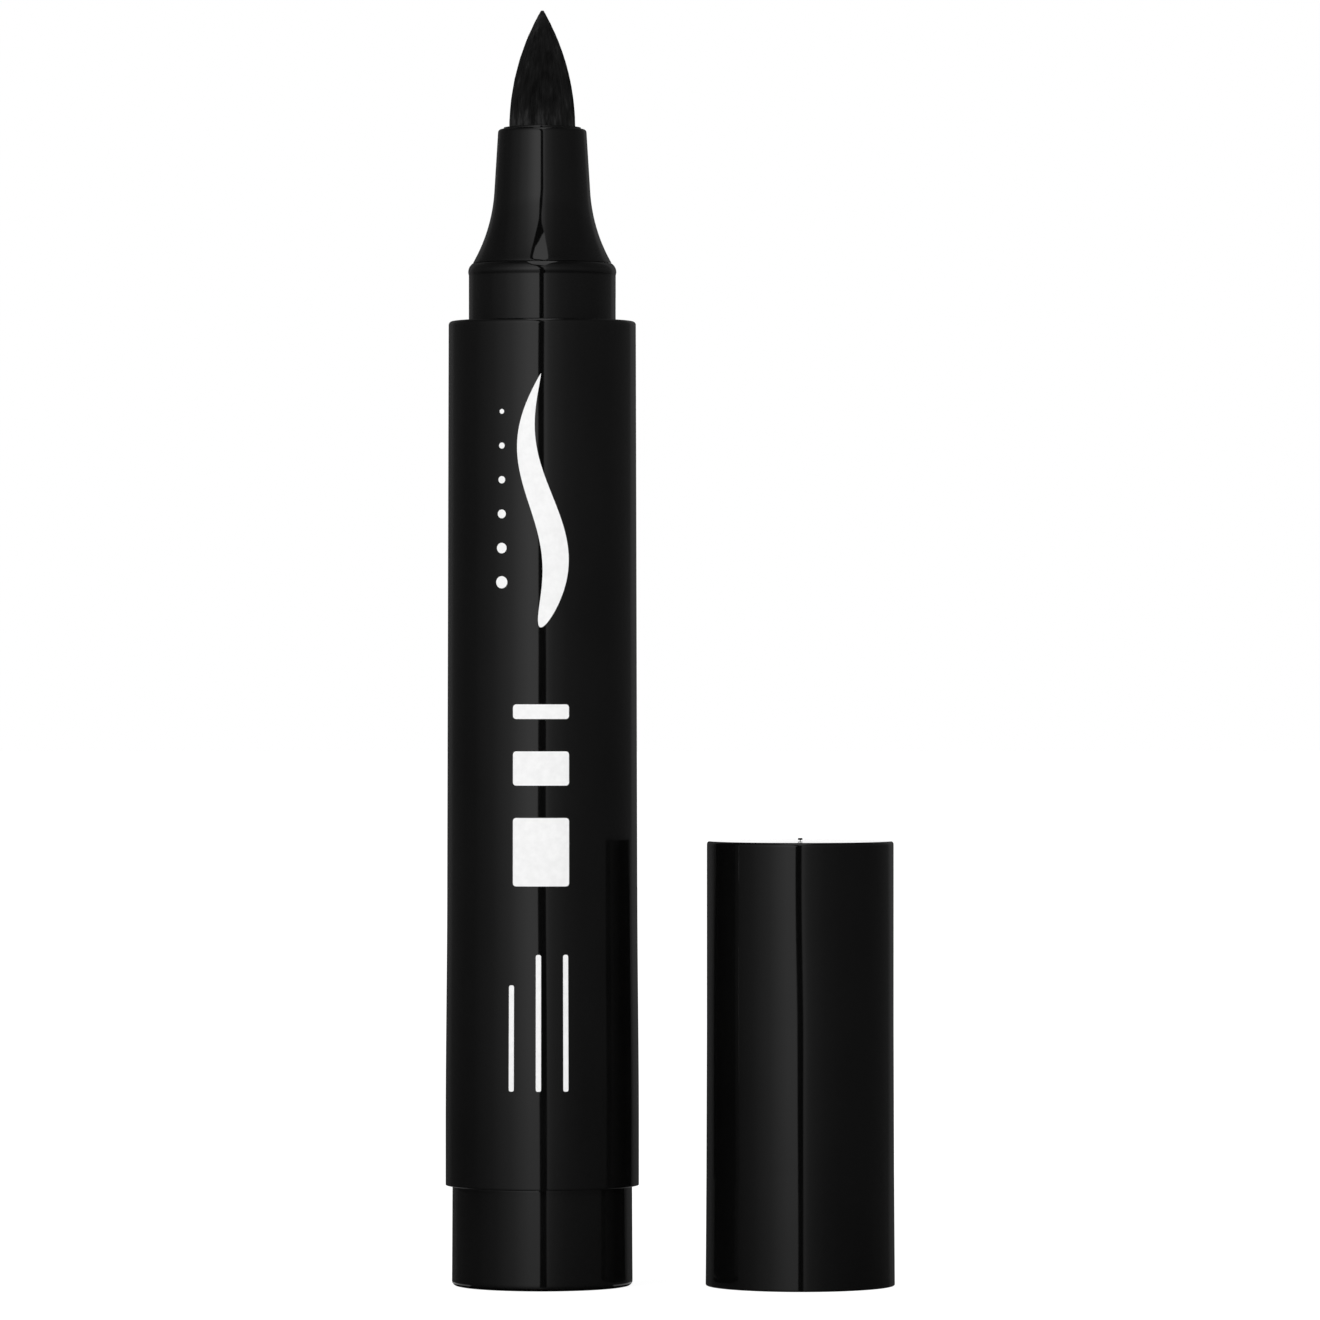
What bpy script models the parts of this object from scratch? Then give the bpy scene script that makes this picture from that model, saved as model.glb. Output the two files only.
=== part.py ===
"""Jumbo brush-tip liquid eyeliner pen, with its cap taken off and standing beside it.

The pen stands on its flat tail with the brush up. From the tail upwards it is built from a tail plug,
a barrel with a fibre ink reservoir inside, a collar that the cap clicks on to, and a nozzle that holds
the brush. The cap stands mouth down on the same surface.
"""
import math

import bmesh
import bpy
import numpy as np
from mathutils import Matrix

mm = 0.001

# Heights along the pen, each from the end of the piece below it
tail_height = 8.3 * mm
barrel_length = 71.45 * mm
collar_height = 4.75 * mm
nozzle_height = 11.3 * mm
brush_reach = 9.7 * mm

# Fits between pieces
fit_clearance = 0.06 * mm
seat_gap = 0.05 * mm
root_depth = 0.3 * mm
overrun = 1.0 * mm
weld_distance = 0.001 * mm

# Barrel
barrel_front_diameter = 15.5 * mm
barrel_draft = 0.12 * mm
barrel_foot_flare = 0.13 * mm
barrel_wall = 1.0 * mm
barrel_bore_draft = 0.15 * mm
barrel_edge = 0.3 * mm
barrel_foot_edge = 0.06 * mm
barrel_waist_height = 25.0 * mm
barrel_foot_band = 5.0 * mm
lip_thickness = 1.2 * mm
rib_height = 0.3 * mm
rib_width = 0.8 * mm
rib_end_gap = 1.0 * mm
rib_count = 6

# Cap shell
cap_height = 36.75 * mm
cap_inset = 0.02 * mm
cap_flare = 0.1 * mm
cap_flare_height = 15.5 * mm
cap_wall = 1.48 * mm
cap_top_thickness = 1.5 * mm
cap_top_edge = 0.25 * mm
cap_mouth_edge = 0.1 * mm
cap_bore_draft = 0.1 * mm
cap_slide_clearance = 0.17 * mm
cap_mouth_chamfer = 0.35 * mm
cap_snap_depth = 0.15 * mm
cap_snap_below_bead = 0.5 * mm
cap_snap_height = 0.7 * mm
cap_gap = 5.52 * mm
gate_diameter = 0.38 * mm
gate_height = 0.25 * mm

# Collar
collar_wall = 0.97 * mm
bead_height = 0.05 * mm
bead_round = 0.85 * mm
bead_chamfer_drop = 0.07 * mm
flange_height = 3.0 * mm
flange_chamfer = 0.3 * mm

# Nozzle
foot_inset = 0.07 * mm
foot_land = 0.15 * mm
neck_drop = 5.3 * mm
neck_draft = 0.32 * mm
tip_wall = 0.85 * mm
tip_edge = 0.25 * mm
rim_lip_width = 0.4 * mm
rim_lip_height = 0.15 * mm
stem_wall = 1.0 * mm
barb_depth = 0.3 * mm
barb_height = 1.2 * mm
stem_end_land = 0.6 * mm
snap_slot_width = 1.2 * mm
snap_slot_height = 5.0 * mm
snap_slot_count = 4
vent_width = 0.6 * mm
vent_depth = 0.4 * mm
vent_stop = 1.5 * mm
vent_count = 4

# Brush and the retainer behind it
brush_root_ledge = 0.71 * mm
brush_taper = 10.0 * mm
brush_point = 0.12 * mm
brush_bore_depth = 9.0 * mm
brush_flange_width = 0.3 * mm
brush_flange_height = 1.0 * mm
pocket_clearance = 0.3 * mm
retainer_height = 2.0 * mm
retainer_tube_wall = 0.8 * mm
retainer_notch_width = 1.2 * mm
retainer_notch_depth = 0.5 * mm
retainer_notch_count = 4

# Feed wick and ink reservoir
wick_diameter = 2.2 * mm
wick_clearance = 0.1 * mm
wick_chamfer = 0.3 * mm
wick_in_brush = 5.5 * mm
wick_in_reservoir = 12.0 * mm
wick_hole_spare = 0.3 * mm
reservoir_clearance = 0.1 * mm
film_thickness = 0.15 * mm
film_clearance = 0.05 * mm

# Tail plug
tail_inset = 0.565 * mm
tail_draft = 0.04 * mm
tail_corner = 0.4 * mm
tail_floor = 1.6 * mm
spigot_height = 7.0 * mm
spigot_wall = 1.1 * mm
spigot_chamfer = 0.4 * mm
ridge_depth = 0.12 * mm
ridge_height = 0.8 * mm
ridge_centre_height = 2.8 * mm
post_diameter = 2.0 * mm
web_width = 0.9 * mm
web_count = 4

# Inner cap
seal_engagement = 4.5 * mm
seal_interference = 0.03 * mm
seal_lip_height = 0.8 * mm
seal_lead_in = 0.4 * mm
inner_cap_relief = 0.12 * mm
inner_cap_wall = 0.9 * mm
inner_cap_top_thickness = 1.0 * mm
fin_width = 0.8 * mm
fin_drop = 1.2 * mm
fin_count = 6

# Facets round each piece, and on its rounded edges
case_facets = 48
core_facets = 32
wick_facets = 16
edge_facets = 3
flare_facets = 7
brush_facets = 12

# Directions in the profile plane
up = math.pi / 2
outward = 0.0
down = -math.pi / 2
diagonal = math.pi / 4
sharp_angle = math.pi / 6

# Colour of every moulding that shows
gloss_black = (0.008, 0.008, 0.009)

# Levels along the pen
barrel_low = tail_height
barrel_top = barrel_low + barrel_length
collar_top = barrel_top + collar_height
nozzle_top = collar_top + nozzle_height
brush_top = nozzle_top + brush_reach
flange_top = barrel_top - lip_thickness - seat_gap
flange_low = flange_top - flange_height
barb_top = flange_low - seat_gap
stem_low = barb_top - barb_height - stem_end_land
brush_shoulder = nozzle_top - brush_bore_depth
brush_low = brush_shoulder - seat_gap - brush_flange_height
pocket_low = brush_low - seat_gap
retainer_top = pocket_low - seat_gap
plug_shoulder = barrel_low - seat_gap
plug_top = plug_shoulder + spigot_height
reservoir_low = plug_top + seat_gap
reservoir_top = stem_low - seat_gap
wick_low = reservoir_top - wick_in_reservoir
wick_top = brush_low + wick_in_brush
neck_level = nozzle_top - neck_drop
ridge_level = plug_shoulder + ridge_centre_height
bead_drop = bead_round * math.sin(diagonal) + bead_chamfer_drop

# Radii, from the outside inwards
barrel_front = barrel_front_diameter / 2
barrel_waist = barrel_front + barrel_draft
barrel_foot = barrel_waist + barrel_foot_flare
bore_front = barrel_front - barrel_wall
bore_tail = bore_front + barrel_bore_draft
cap_body = barrel_front - cap_inset
cap_mouth = cap_body + cap_flare
cap_bore = cap_body - cap_wall
cap_bore_top = cap_bore - cap_bore_draft
collar = cap_bore - cap_slide_clearance
collar_bore = collar - collar_wall
bead = collar + bead_height
bead_centre = bead - bead_round
collar_rim = bead_centre + bead_round * math.cos(diagonal) - bead_chamfer_drop
lip_hole = bead + fit_clearance
flange = bore_front - fit_clearance
stem = collar_bore - fit_clearance
stem_bore = stem - stem_wall
brush_pocket = stem_bore - brush_root_ledge
brush_flange = brush_pocket - pocket_clearance
brush = brush_flange - brush_flange_width
brush_bore = brush + fit_clearance
nozzle_tip = brush_bore + tip_wall
nozzle_neck = nozzle_tip + neck_draft
wick = wick_diameter / 2
wick_hole = wick + wick_clearance
rib_face = bore_front - rib_height
film_outer = rib_face - reservoir_clearance
film_inner = film_outer - film_thickness
reservoir = film_inner - film_clearance
retainer = stem_bore - fit_clearance
spigot = bore_tail - fit_clearance
tail_knob = barrel_foot - tail_inset

# The cap's place beside the pen
cap_offset = barrel_foot + cap_gap + cap_mouth


def arc(centre, radius, start, end, steps):
    """Points on a circle in the profile plane, from one angle to another."""
    angles = np.linspace(start, end, steps + 1)
    return [(centre[0] + radius * math.cos(a), centre[1] + radius * math.sin(a)) for a in angles]


def top_edge(radius, level, edge):
    """A rounded outer edge, from the top face round to the side."""
    return arc((radius - edge, level - edge), edge, up, outward, edge_facets)


def low_edge(radius, level, edge):
    """A rounded outer edge, from the side round to the bottom face."""
    return arc((radius - edge, level + edge), edge, outward, down, edge_facets)


def tangent_arc(start, direction, end, steps):
    """Points on the circle that leaves start along direction and passes through end."""
    run = (end[0] - start[0], end[1] - start[1])
    normal = (-direction[1], direction[0])
    offset = run[0] * normal[0] + run[1] * normal[1]
    radius = (run[0] ** 2 + run[1] ** 2) / (2 * offset)
    centre = (start[0] + normal[0] * radius, start[1] + normal[1] * radius)
    first = math.atan2(start[1] - centre[1], start[0] - centre[0])
    last = math.atan2(end[1] - centre[1], end[0] - centre[0])
    sweep = math.remainder(last - first, 2 * math.pi)
    return arc(centre, abs(radius), first, first + sweep, steps)


def ease(share):
    """A smooth rise from 0 to 1, level at both ends."""
    return share * share * (3 - 2 * share)


def new_collection(name):
    """A collection linked to the scene."""
    collection = bpy.data.collections.new(name)
    bpy.context.scene.collection.children.link(collection)
    return collection


def new_material(name, colour, roughness, alpha=1.0):
    """A Principled material for one piece."""
    material = bpy.data.materials.new(name)
    material.use_nodes = True
    shader = material.node_tree.nodes["Principled BSDF"]
    shader.inputs["Base Color"].default_value = (*colour, 1.0)
    shader.inputs["Roughness"].default_value = roughness
    shader.inputs["Metallic"].default_value = 0.0
    shader.inputs["Alpha"].default_value = alpha
    return material


def turned(name, profile, facets, material, ring=True):
    """A turned piece: its profile swept round Z. A ring's profile closes on itself."""
    mesh = bpy.data.meshes.new(name)
    corners = [(radius, 0, height) for radius, height in profile]
    edges = [(index, index + 1) for index in range(len(corners) - 1)]
    if ring:
        edges.append((len(corners) - 1, 0))
    mesh.from_pydata(corners, edges, [])
    mesh.materials.append(material)
    piece = bpy.data.objects.new(name, mesh)
    parts.objects.link(piece)
    screw = piece.modifiers.new("turn", "SCREW")
    screw.axis = "Z"
    screw.steps = facets
    screw.render_steps = facets
    screw.use_merge_vertices = True
    screw.merge_threshold = weld_distance
    screw.use_smooth_shade = True
    return piece


def radial_blocks(name, count, inner, outer, width, low, high):
    """A ring of upright blocks that reach from one radius to another."""
    form = bmesh.new()
    for index in range(count):
        turn = Matrix.Rotation(2 * math.pi * index / count, 4, "Z")
        place = Matrix.Translation(((inner + outer) / 2, 0, (low + high) / 2))
        size = Matrix.Diagonal((outer - inner, width, high - low, 1))
        bmesh.ops.create_cube(form, size=1, matrix=turn @ place @ size)
    mesh = bpy.data.meshes.new(name)
    form.to_mesh(mesh)
    form.free()
    blocks = bpy.data.objects.new(name, mesh)
    blocks.hide_render = True
    blocks.display_type = "WIRE"
    cutters.objects.link(blocks)
    return blocks


def combine(piece, blocks, operation):
    """Cut blocks out of a piece, or fuse them to it. The blocks move with the piece."""
    blocks.parent = piece
    boolean = piece.modifiers.new(blocks.name, "BOOLEAN")
    boolean.operation = operation
    boolean.object = blocks
    boolean.solver = "EXACT"


def finish(piece):
    """Turn a piece's modifiers into its mesh, smooth on its round faces and sharp at its edges."""
    evaluated = piece.evaluated_get(bpy.context.evaluated_depsgraph_get())
    mesh = bpy.data.meshes.new_from_object(evaluated)
    mesh.name = piece.name
    piece.modifiers.clear()
    piece.data = mesh
    mesh.shade_smooth()
    mesh.set_sharp_from_angle(angle=sharp_angle)


def barrel_side():
    """The barrel's outer side: a slight draft, a flare near the tail, then a straight band."""
    waist_level = barrel_low + barrel_waist_height
    band_level = barrel_low + barrel_foot_band
    points = [(barrel_waist, waist_level)]
    for index in range(1, flare_facets + 1):
        share = index / flare_facets
        radius = barrel_waist + barrel_foot_flare * ease(share)
        points.append((radius, waist_level + (band_level - waist_level) * share))
    return points


def make_barrel():
    """Open at the tail, with a lip at the front that traps the collar, and ribs down its bore."""
    lip_low = barrel_top - lip_thickness
    groove = bore_tail + ridge_depth
    groove_half = ridge_height / 2 + seat_gap
    profile = [(lip_hole, barrel_top)]
    profile += top_edge(barrel_front, barrel_top, barrel_edge)
    profile += barrel_side()
    profile += low_edge(barrel_foot, barrel_low, barrel_foot_edge)
    profile += [
        (bore_tail, barrel_low),
        (bore_tail, ridge_level - groove_half - ridge_depth),
        (groove, ridge_level - groove_half),
        (groove, ridge_level + groove_half),
        (bore_tail, ridge_level + groove_half + ridge_depth),
        (bore_tail, plug_top),
        (bore_front, flange_low),
        (bore_front, lip_low),
        (lip_hole, lip_low),
    ]
    plastic = new_material("gloss_black_barrel", gloss_black, 0.12)
    piece = turned("barrel", profile, case_facets, plastic)
    ribs = radial_blocks("barrel_ribs", rib_count, rib_face, bore_front + root_depth, rib_width,
                         plug_top + rib_end_gap, flange_low - rib_end_gap)
    combine(piece, ribs, "UNION")
    return piece


def make_collar_ring():
    """The ring that the cap slides over: a bead near its rim, and a flange behind the barrel's lip."""
    foot_angle = math.acos((collar - bead_centre) / bead_round)
    profile = [(collar_bore, collar_top), (collar_rim, collar_top)]
    profile += arc((bead_centre, collar_top - bead_drop), bead_round, diagonal, -foot_angle, flare_facets)
    profile += [
        (collar, flange_top),
        (flange, flange_top),
        (flange, flange_low + flange_chamfer),
        (flange - flange_chamfer, flange_low),
        (collar_bore, flange_low),
    ]
    plastic = new_material("gloss_black_collar", gloss_black, 0.12)
    return turned("collar_ring", profile, case_facets, plastic)


def make_nozzle():
    """The flared nozzle, with a stepped bore for the brush and a slotted stem that snaps in place."""
    foot = collar_rim - foot_inset
    foot_level = collar_top + seat_gap
    rim_outer = brush_bore + rim_lip_width
    rim_level = nozzle_top - rim_lip_height
    slope = math.hypot(neck_draft, neck_drop)
    direction = (neck_draft / slope, -neck_drop / slope)
    profile = [(brush_bore, nozzle_top), (rim_outer, nozzle_top), (rim_outer, rim_level)]
    profile += top_edge(nozzle_tip, rim_level, tip_edge)
    flare_end = (foot, foot_level + foot_land)
    profile += tangent_arc((nozzle_neck, neck_level), direction, flare_end, flare_facets)
    profile += [
        (foot, foot_level),
        (stem, foot_level),
        (stem, barb_top),
        (stem + barb_depth, barb_top),
        (stem + barb_depth, barb_top - barb_height / 2),
        (stem, stem_low + stem_end_land),
        (stem, stem_low),
        (stem_bore, stem_low),
        (stem_bore, pocket_low),
        (brush_pocket, pocket_low),
        (brush_pocket, brush_shoulder),
        (brush_bore, brush_shoulder),
    ]
    plastic = new_material("gloss_black_nozzle", gloss_black, 0.12)
    piece = turned("nozzle", profile, case_facets, plastic)
    slots = radial_blocks("nozzle_snap_slots", snap_slot_count, stem_bore - overrun,
                          stem + barb_depth + overrun, snap_slot_width,
                          stem_low - overrun, stem_low + snap_slot_height)
    combine(piece, slots, "DIFFERENCE")
    vents = radial_blocks("nozzle_vents", vent_count, brush_bore - vent_depth, brush_bore + vent_depth,
                          vent_width, pocket_low + seat_gap, nozzle_top - vent_stop)
    combine(piece, vents, "DIFFERENCE")
    return piece


def make_brush_tip():
    """The fibre brush: a pointed ogive on a round bundle, its root fused into a flange round the wick."""
    ogive = (brush_taper ** 2 + brush ** 2) / (2 * brush)
    ogive_centre = brush - ogive
    start = math.acos((brush_point - ogive_centre) / ogive)
    base_level = brush_top - ogive * math.sin(start)
    profile = [(0, brush_top)]
    profile += arc((ogive_centre, base_level), ogive, start, outward, brush_facets)
    profile += [
        (brush, brush_low + brush_flange_height),
        (brush_flange, brush_low + brush_flange_height),
        (brush_flange, brush_low),
        (wick_hole, brush_low),
        (wick_hole, wick_top + wick_hole_spare),
        (0, wick_top + wick_hole_spare),
    ]
    fibre = new_material("black_fibre", (0.006, 0.006, 0.007), 0.75)
    return turned("brush_tip", profile, core_facets, fibre, ring=False)


def make_brush_retainer():
    """A notched disc that locks the brush's root, with a tube that guides the wick."""
    tube = wick_hole + retainer_tube_wall
    disc_low = retainer_top - retainer_height
    profile = [
        (wick_hole, retainer_top),
        (retainer, retainer_top),
        (retainer, disc_low),
        (tube, disc_low),
        (tube, stem_low),
        (wick_hole, stem_low),
    ]
    plastic = new_material("natural_plastic_retainer", (0.75, 0.75, 0.72), 0.4)
    piece = turned("brush_retainer", profile, core_facets, plastic)
    notches = radial_blocks("retainer_notches", retainer_notch_count, retainer - retainer_notch_depth,
                            retainer + overrun, retainer_notch_width, disc_low - overrun,
                            retainer_top + overrun)
    combine(piece, notches, "DIFFERENCE")
    return piece


def make_feed_wick():
    """The fibre rod that carries ink from the reservoir up into the brush."""
    profile = [
        (0, wick_top),
        (wick - wick_chamfer, wick_top),
        (wick, wick_top - wick_chamfer),
        (wick, wick_low + wick_chamfer),
        (wick - wick_chamfer, wick_low),
        (0, wick_low),
    ]
    fibre = new_material("wick_fibre", (0.03, 0.03, 0.03), 0.9)
    return turned("feed_wick", profile, wick_facets, fibre, ring=False)


def make_reservoir_core():
    """The fibre rod that holds the ink, pierced from above by the wick."""
    hole_low = wick_low - wick_hole_spare
    profile = [
        (0, hole_low),
        (wick_hole, hole_low),
        (wick_hole, reservoir_top),
        (reservoir, reservoir_top),
        (reservoir, reservoir_low),
        (0, reservoir_low),
    ]
    fibre = new_material("inked_reservoir_fibre", (0.02, 0.02, 0.022), 0.9)
    return turned("reservoir_core", profile, core_facets, fibre, ring=False)


def make_reservoir_film():
    """The clear film that wraps the reservoir, open at both ends."""
    profile = [
        (film_inner, reservoir_top),
        (film_outer, reservoir_top),
        (film_outer, reservoir_low),
        (film_inner, reservoir_low),
    ]
    film = new_material("clear_film", (0.8, 0.82, 0.84), 0.15, alpha=0.35)
    return turned("reservoir_film", profile, core_facets, film)


def make_tail_plug():
    """The closed end: a knob to stand on, and a hollow spigot with a snap ridge, stiffened by a web."""
    cup = spigot - spigot_wall
    post = post_diameter / 2
    ridge_half = ridge_height / 2
    profile = [
        (0, plug_top),
        (post, plug_top),
        (post, tail_floor),
        (cup, tail_floor),
        (cup, plug_top),
        (spigot - spigot_chamfer, plug_top),
        (spigot, plug_top - spigot_chamfer),
        (spigot, ridge_level + ridge_half),
        (spigot + ridge_depth, ridge_level + ridge_half - ridge_depth),
        (spigot + ridge_depth, ridge_level - ridge_half + ridge_depth),
        (spigot, ridge_level - ridge_half),
        (spigot, plug_shoulder),
        (tail_knob, plug_shoulder),
    ]
    profile += low_edge(tail_knob + tail_draft, 0, tail_corner)
    profile.append((0, 0))
    plastic = new_material("gloss_black_tail", gloss_black, 0.14)
    piece = turned("tail_plug", profile, case_facets, plastic, ring=False)
    web = radial_blocks("tail_plug_web", web_count, post - root_depth, cup + root_depth, web_width,
                        tail_floor - root_depth, plug_top - spigot_chamfer)
    combine(piece, web, "UNION")
    return piece


def make_cap_shell():
    """The cap, closed end up: a flat top with its gate mark, and a snap ring inside the mouth."""
    gate = gate_diameter / 2
    snap = cap_bore - cap_snap_depth
    snap_top = collar_height - bead_drop - cap_snap_below_bead
    snap_low = snap_top - cap_snap_height
    ceiling = cap_height - cap_top_thickness
    profile = [(0, cap_height + gate_height), (gate, cap_height + gate_height), (gate, cap_height)]
    profile += top_edge(cap_body, cap_height, cap_top_edge)
    profile.append((cap_body, cap_flare_height))
    profile += low_edge(cap_mouth, 0, cap_mouth_edge)
    profile += [
        (cap_bore + cap_mouth_chamfer, 0),
        (cap_bore, cap_mouth_chamfer),
        (cap_bore, snap_low - cap_snap_depth),
        (snap, snap_low),
        (snap, snap_top),
        (cap_bore, snap_top + cap_snap_depth),
        (cap_bore_top, ceiling),
        (0, ceiling),
    ]
    plastic = new_material("gloss_black_cap", gloss_black, 0.12)
    return turned("cap_shell", profile, case_facets, plastic, ring=False)


def make_inner_cap():
    """The soft cup inside the cap: its lip closes round the nozzle, so that the brush stays wet."""
    top = cap_height - cap_top_thickness - seat_gap
    top_low = top - inner_cap_top_thickness
    mouth = collar_height + nozzle_height - seal_engagement
    rim_drop = rim_lip_height + tip_edge
    seal_share = (seal_engagement - rim_drop) / (neck_drop - rim_drop)
    seal = nozzle_tip + neck_draft * seal_share - seal_interference
    cup = seal + inner_cap_relief
    tube = cup + inner_cap_wall
    disc = cap_bore_top - fit_clearance
    lip_top = mouth + seal_lead_in + seal_lip_height
    profile = [
        (0, top),
        (disc, top),
        (disc, top_low),
        (tube, top_low),
        (tube, mouth),
        (seal + seal_lead_in, mouth),
        (seal, mouth + seal_lead_in),
        (seal, lip_top),
        (cup, lip_top + inner_cap_relief),
        (cup, top_low),
        (0, top_low),
    ]
    plastic = new_material("natural_soft_plastic", (0.78, 0.78, 0.74), 0.45)
    piece = turned("inner_cap", profile, core_facets, plastic, ring=False)
    fins = radial_blocks("inner_cap_fins", fin_count, tube - root_depth, disc, fin_width,
                         mouth + fin_drop, top - inner_cap_top_thickness / 2)
    combine(piece, fins, "UNION")
    return piece


def build_pen():
    """All the pieces that stay together when the cap is off."""
    make_barrel()
    make_collar_ring()
    make_nozzle()
    make_brush_tip()
    make_brush_retainer()
    make_feed_wick()
    make_reservoir_core()
    make_reservoir_film()
    make_tail_plug()


def build_cap():
    """The cap's two pieces, carried by an empty on the line along which the cap is lifted."""
    axis = bpy.data.objects.new("cap_lift_axis", None)
    axis.location = (cap_offset, 0, 0)
    parts.objects.link(axis)
    for piece in (make_cap_shell(), make_inner_cap()):
        piece.parent = axis


for old in list(bpy.data.objects):
    bpy.data.objects.remove(old, do_unlink=True)
parts = new_collection("liquid_eyeliner_pen")
cutters = new_collection("liquid_eyeliner_pen_cutters")
build_pen()
build_cap()
bpy.context.view_layer.update()
for part in [item for item in parts.objects if item.type == "MESH"]:
    finish(part)
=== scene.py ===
# %% [markdown]
# A jumbo liquid eyeliner with its cap taken off
#
# The pen stands on its tail with the brush up. Its cap stands beside it, mouth down. A CAD model already
# fixes every size, and says that the cap lifts straight up. This notebook gives the model its looks in
# Blender: a finer mesh for each piece that shows, a finish for every piece, and the studio around them.
#
# The first cell loads the CAD model. Its box is measured before anything else is made, so that the dressed
# model can be compared with it at the end.

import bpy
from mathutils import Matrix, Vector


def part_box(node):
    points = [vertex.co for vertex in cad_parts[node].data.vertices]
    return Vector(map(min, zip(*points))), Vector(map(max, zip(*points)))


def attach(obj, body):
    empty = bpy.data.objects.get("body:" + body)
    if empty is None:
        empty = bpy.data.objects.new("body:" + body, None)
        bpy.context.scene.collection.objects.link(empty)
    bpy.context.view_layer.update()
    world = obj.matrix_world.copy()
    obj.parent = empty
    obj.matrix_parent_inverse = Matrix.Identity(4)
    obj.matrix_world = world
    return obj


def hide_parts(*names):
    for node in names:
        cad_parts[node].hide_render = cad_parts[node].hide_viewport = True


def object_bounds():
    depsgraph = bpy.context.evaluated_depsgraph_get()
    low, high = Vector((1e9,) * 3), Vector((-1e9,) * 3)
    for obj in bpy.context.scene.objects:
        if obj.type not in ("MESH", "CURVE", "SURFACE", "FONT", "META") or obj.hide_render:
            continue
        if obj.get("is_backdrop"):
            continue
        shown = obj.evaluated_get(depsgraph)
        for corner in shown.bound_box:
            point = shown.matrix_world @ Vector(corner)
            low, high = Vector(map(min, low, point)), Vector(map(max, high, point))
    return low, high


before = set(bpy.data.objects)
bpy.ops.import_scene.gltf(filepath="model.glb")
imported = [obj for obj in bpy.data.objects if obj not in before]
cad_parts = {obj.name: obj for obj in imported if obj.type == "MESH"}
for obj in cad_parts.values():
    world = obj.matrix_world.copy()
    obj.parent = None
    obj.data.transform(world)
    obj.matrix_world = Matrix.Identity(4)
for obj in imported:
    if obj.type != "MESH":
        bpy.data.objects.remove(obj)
cad_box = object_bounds()
print("CAD nodes:", ", ".join(sorted(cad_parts)))

# %% Modules and the unit of length
import math
import random

import bmesh
import bpy
from mathutils import Matrix, Vector

mm = 0.001
print(f"Blender {bpy.app.version_string}, one millimetre is {mm} of its units")

# %% [markdown]
# Where the pieces are
#
# The pen's axis is the Z axis, and the cap has an axis of its own. Each CAD node's box gives the level and
# the widest radius of a piece, so the finer pieces are fitted to the model instead of to copied numbers.

# %% Read the levels and radii from the CAD nodes
def levels(node):
    """The lowest and highest level of a CAD node."""
    low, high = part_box(node)
    return low.z, high.z


def radius_of(node):
    """The widest radius of a CAD node."""
    low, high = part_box(node)
    return (high.x - low.x) / 2


cap_x = (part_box("cap_shell")[0].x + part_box("cap_shell")[1].x) / 2
print(f"the cap's axis is at x = {cap_x / mm:.2f} mm")
for node in sorted(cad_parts):
    low, high = levels(node)
    print(f"{node}: {low / mm:.2f} to {high / mm:.2f} mm, radius {radius_of(node) / mm:.2f} mm")

# %% [markdown]
# Turning a profile
#
# The barrel, collar, nozzle, tail and cap are round mouldings. Each could start as a cylinder whose loops are
# scaled one by one. A lathe-like way suits them better: half of the section is drawn as a chain of corners,
# each corner gets the small radius that the mould has there, and the chain is spun round the axis. Rounding
# the corners before the spin keeps every ring of the mesh even.
#
# Smooth shading bends the light over a long flat face next to a tiny rounding. Two extra rings close to the
# ends of each long face stop that, so a polished side still reflects like a straight one.

# %% A helper that turns a profile
full_turn = 2 * math.pi
ring_steps = 160
corner_segments = 4
long_face = 1.5 * mm
support = 0.12 * mm
merge_distance = 0.0005 * mm


def spun(corners, closed=False, x=0.0, steps=ring_steps):
    """Spins a chain of corners round a vertical axis. A corner is (radius, level, rounding)."""
    form = bmesh.new()
    points = [form.verts.new((radius, 0, level)) for radius, level, rounding in corners]
    for start, end in zip(points, points[1:]):
        form.edges.new((start, end))
    if closed:
        form.edges.new((points[-1], points[0]))
    for size in sorted({rounding for radius, level, rounding in corners if rounding}):
        chosen = [point for point, corner in zip(points, corners) if corner[2] == size]
        bmesh.ops.bevel(form, geom=chosen, offset=size, offset_type="OFFSET", segments=corner_segments,
                        profile=0.5, affect="VERTICES", material=-1)
    for edge in [edge for edge in form.edges if edge.calc_length() > long_face]:
        for end in list(edge.verts):
            bmesh.utils.edge_split(edge, end, support / edge.calc_length())
    bmesh.ops.spin(form, geom=form.verts[:] + form.edges[:], angle=full_turn, steps=steps,
                   axis=(0, 0, 1), cent=(0, 0, 0), use_merge=True)
    bmesh.ops.remove_doubles(form, verts=form.verts, dist=merge_distance)
    bmesh.ops.recalc_face_normals(form, faces=form.faces)
    bmesh.ops.translate(form, verts=form.verts, vec=(x, 0, 0))
    return form


print(f"a spin has {ring_steps} steps of {360 / ring_steps} degrees")

# %% [markdown]
# From a mesh to a piece of the model
#
# A finished bmesh becomes an object at the origin, shaded smooth except where faces meet at a real edge.
# Ribs, slots and fins repeat evenly round the axis. They could be extruded from faces of the turned mesh, but
# then its rings would have to follow them. So each is a small block, and a ring of blocks is fused to the
# piece or cut out of it with a Boolean.

# %% A helper that makes a piece
sharp_angle = math.radians(40)


def add_piece(name, form):
    """Makes an object from a bmesh and links it to the scene."""
    mesh = bpy.data.meshes.new(name)
    form.to_mesh(mesh)
    form.free()
    mesh.shade_smooth()
    mesh.set_sharp_from_angle(angle=sharp_angle)
    piece = bpy.data.objects.new(name, mesh)
    bpy.context.scene.collection.objects.link(piece)
    return piece


print(f"edges of more than {math.degrees(sharp_angle):.0f} degrees stay sharp")

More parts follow.
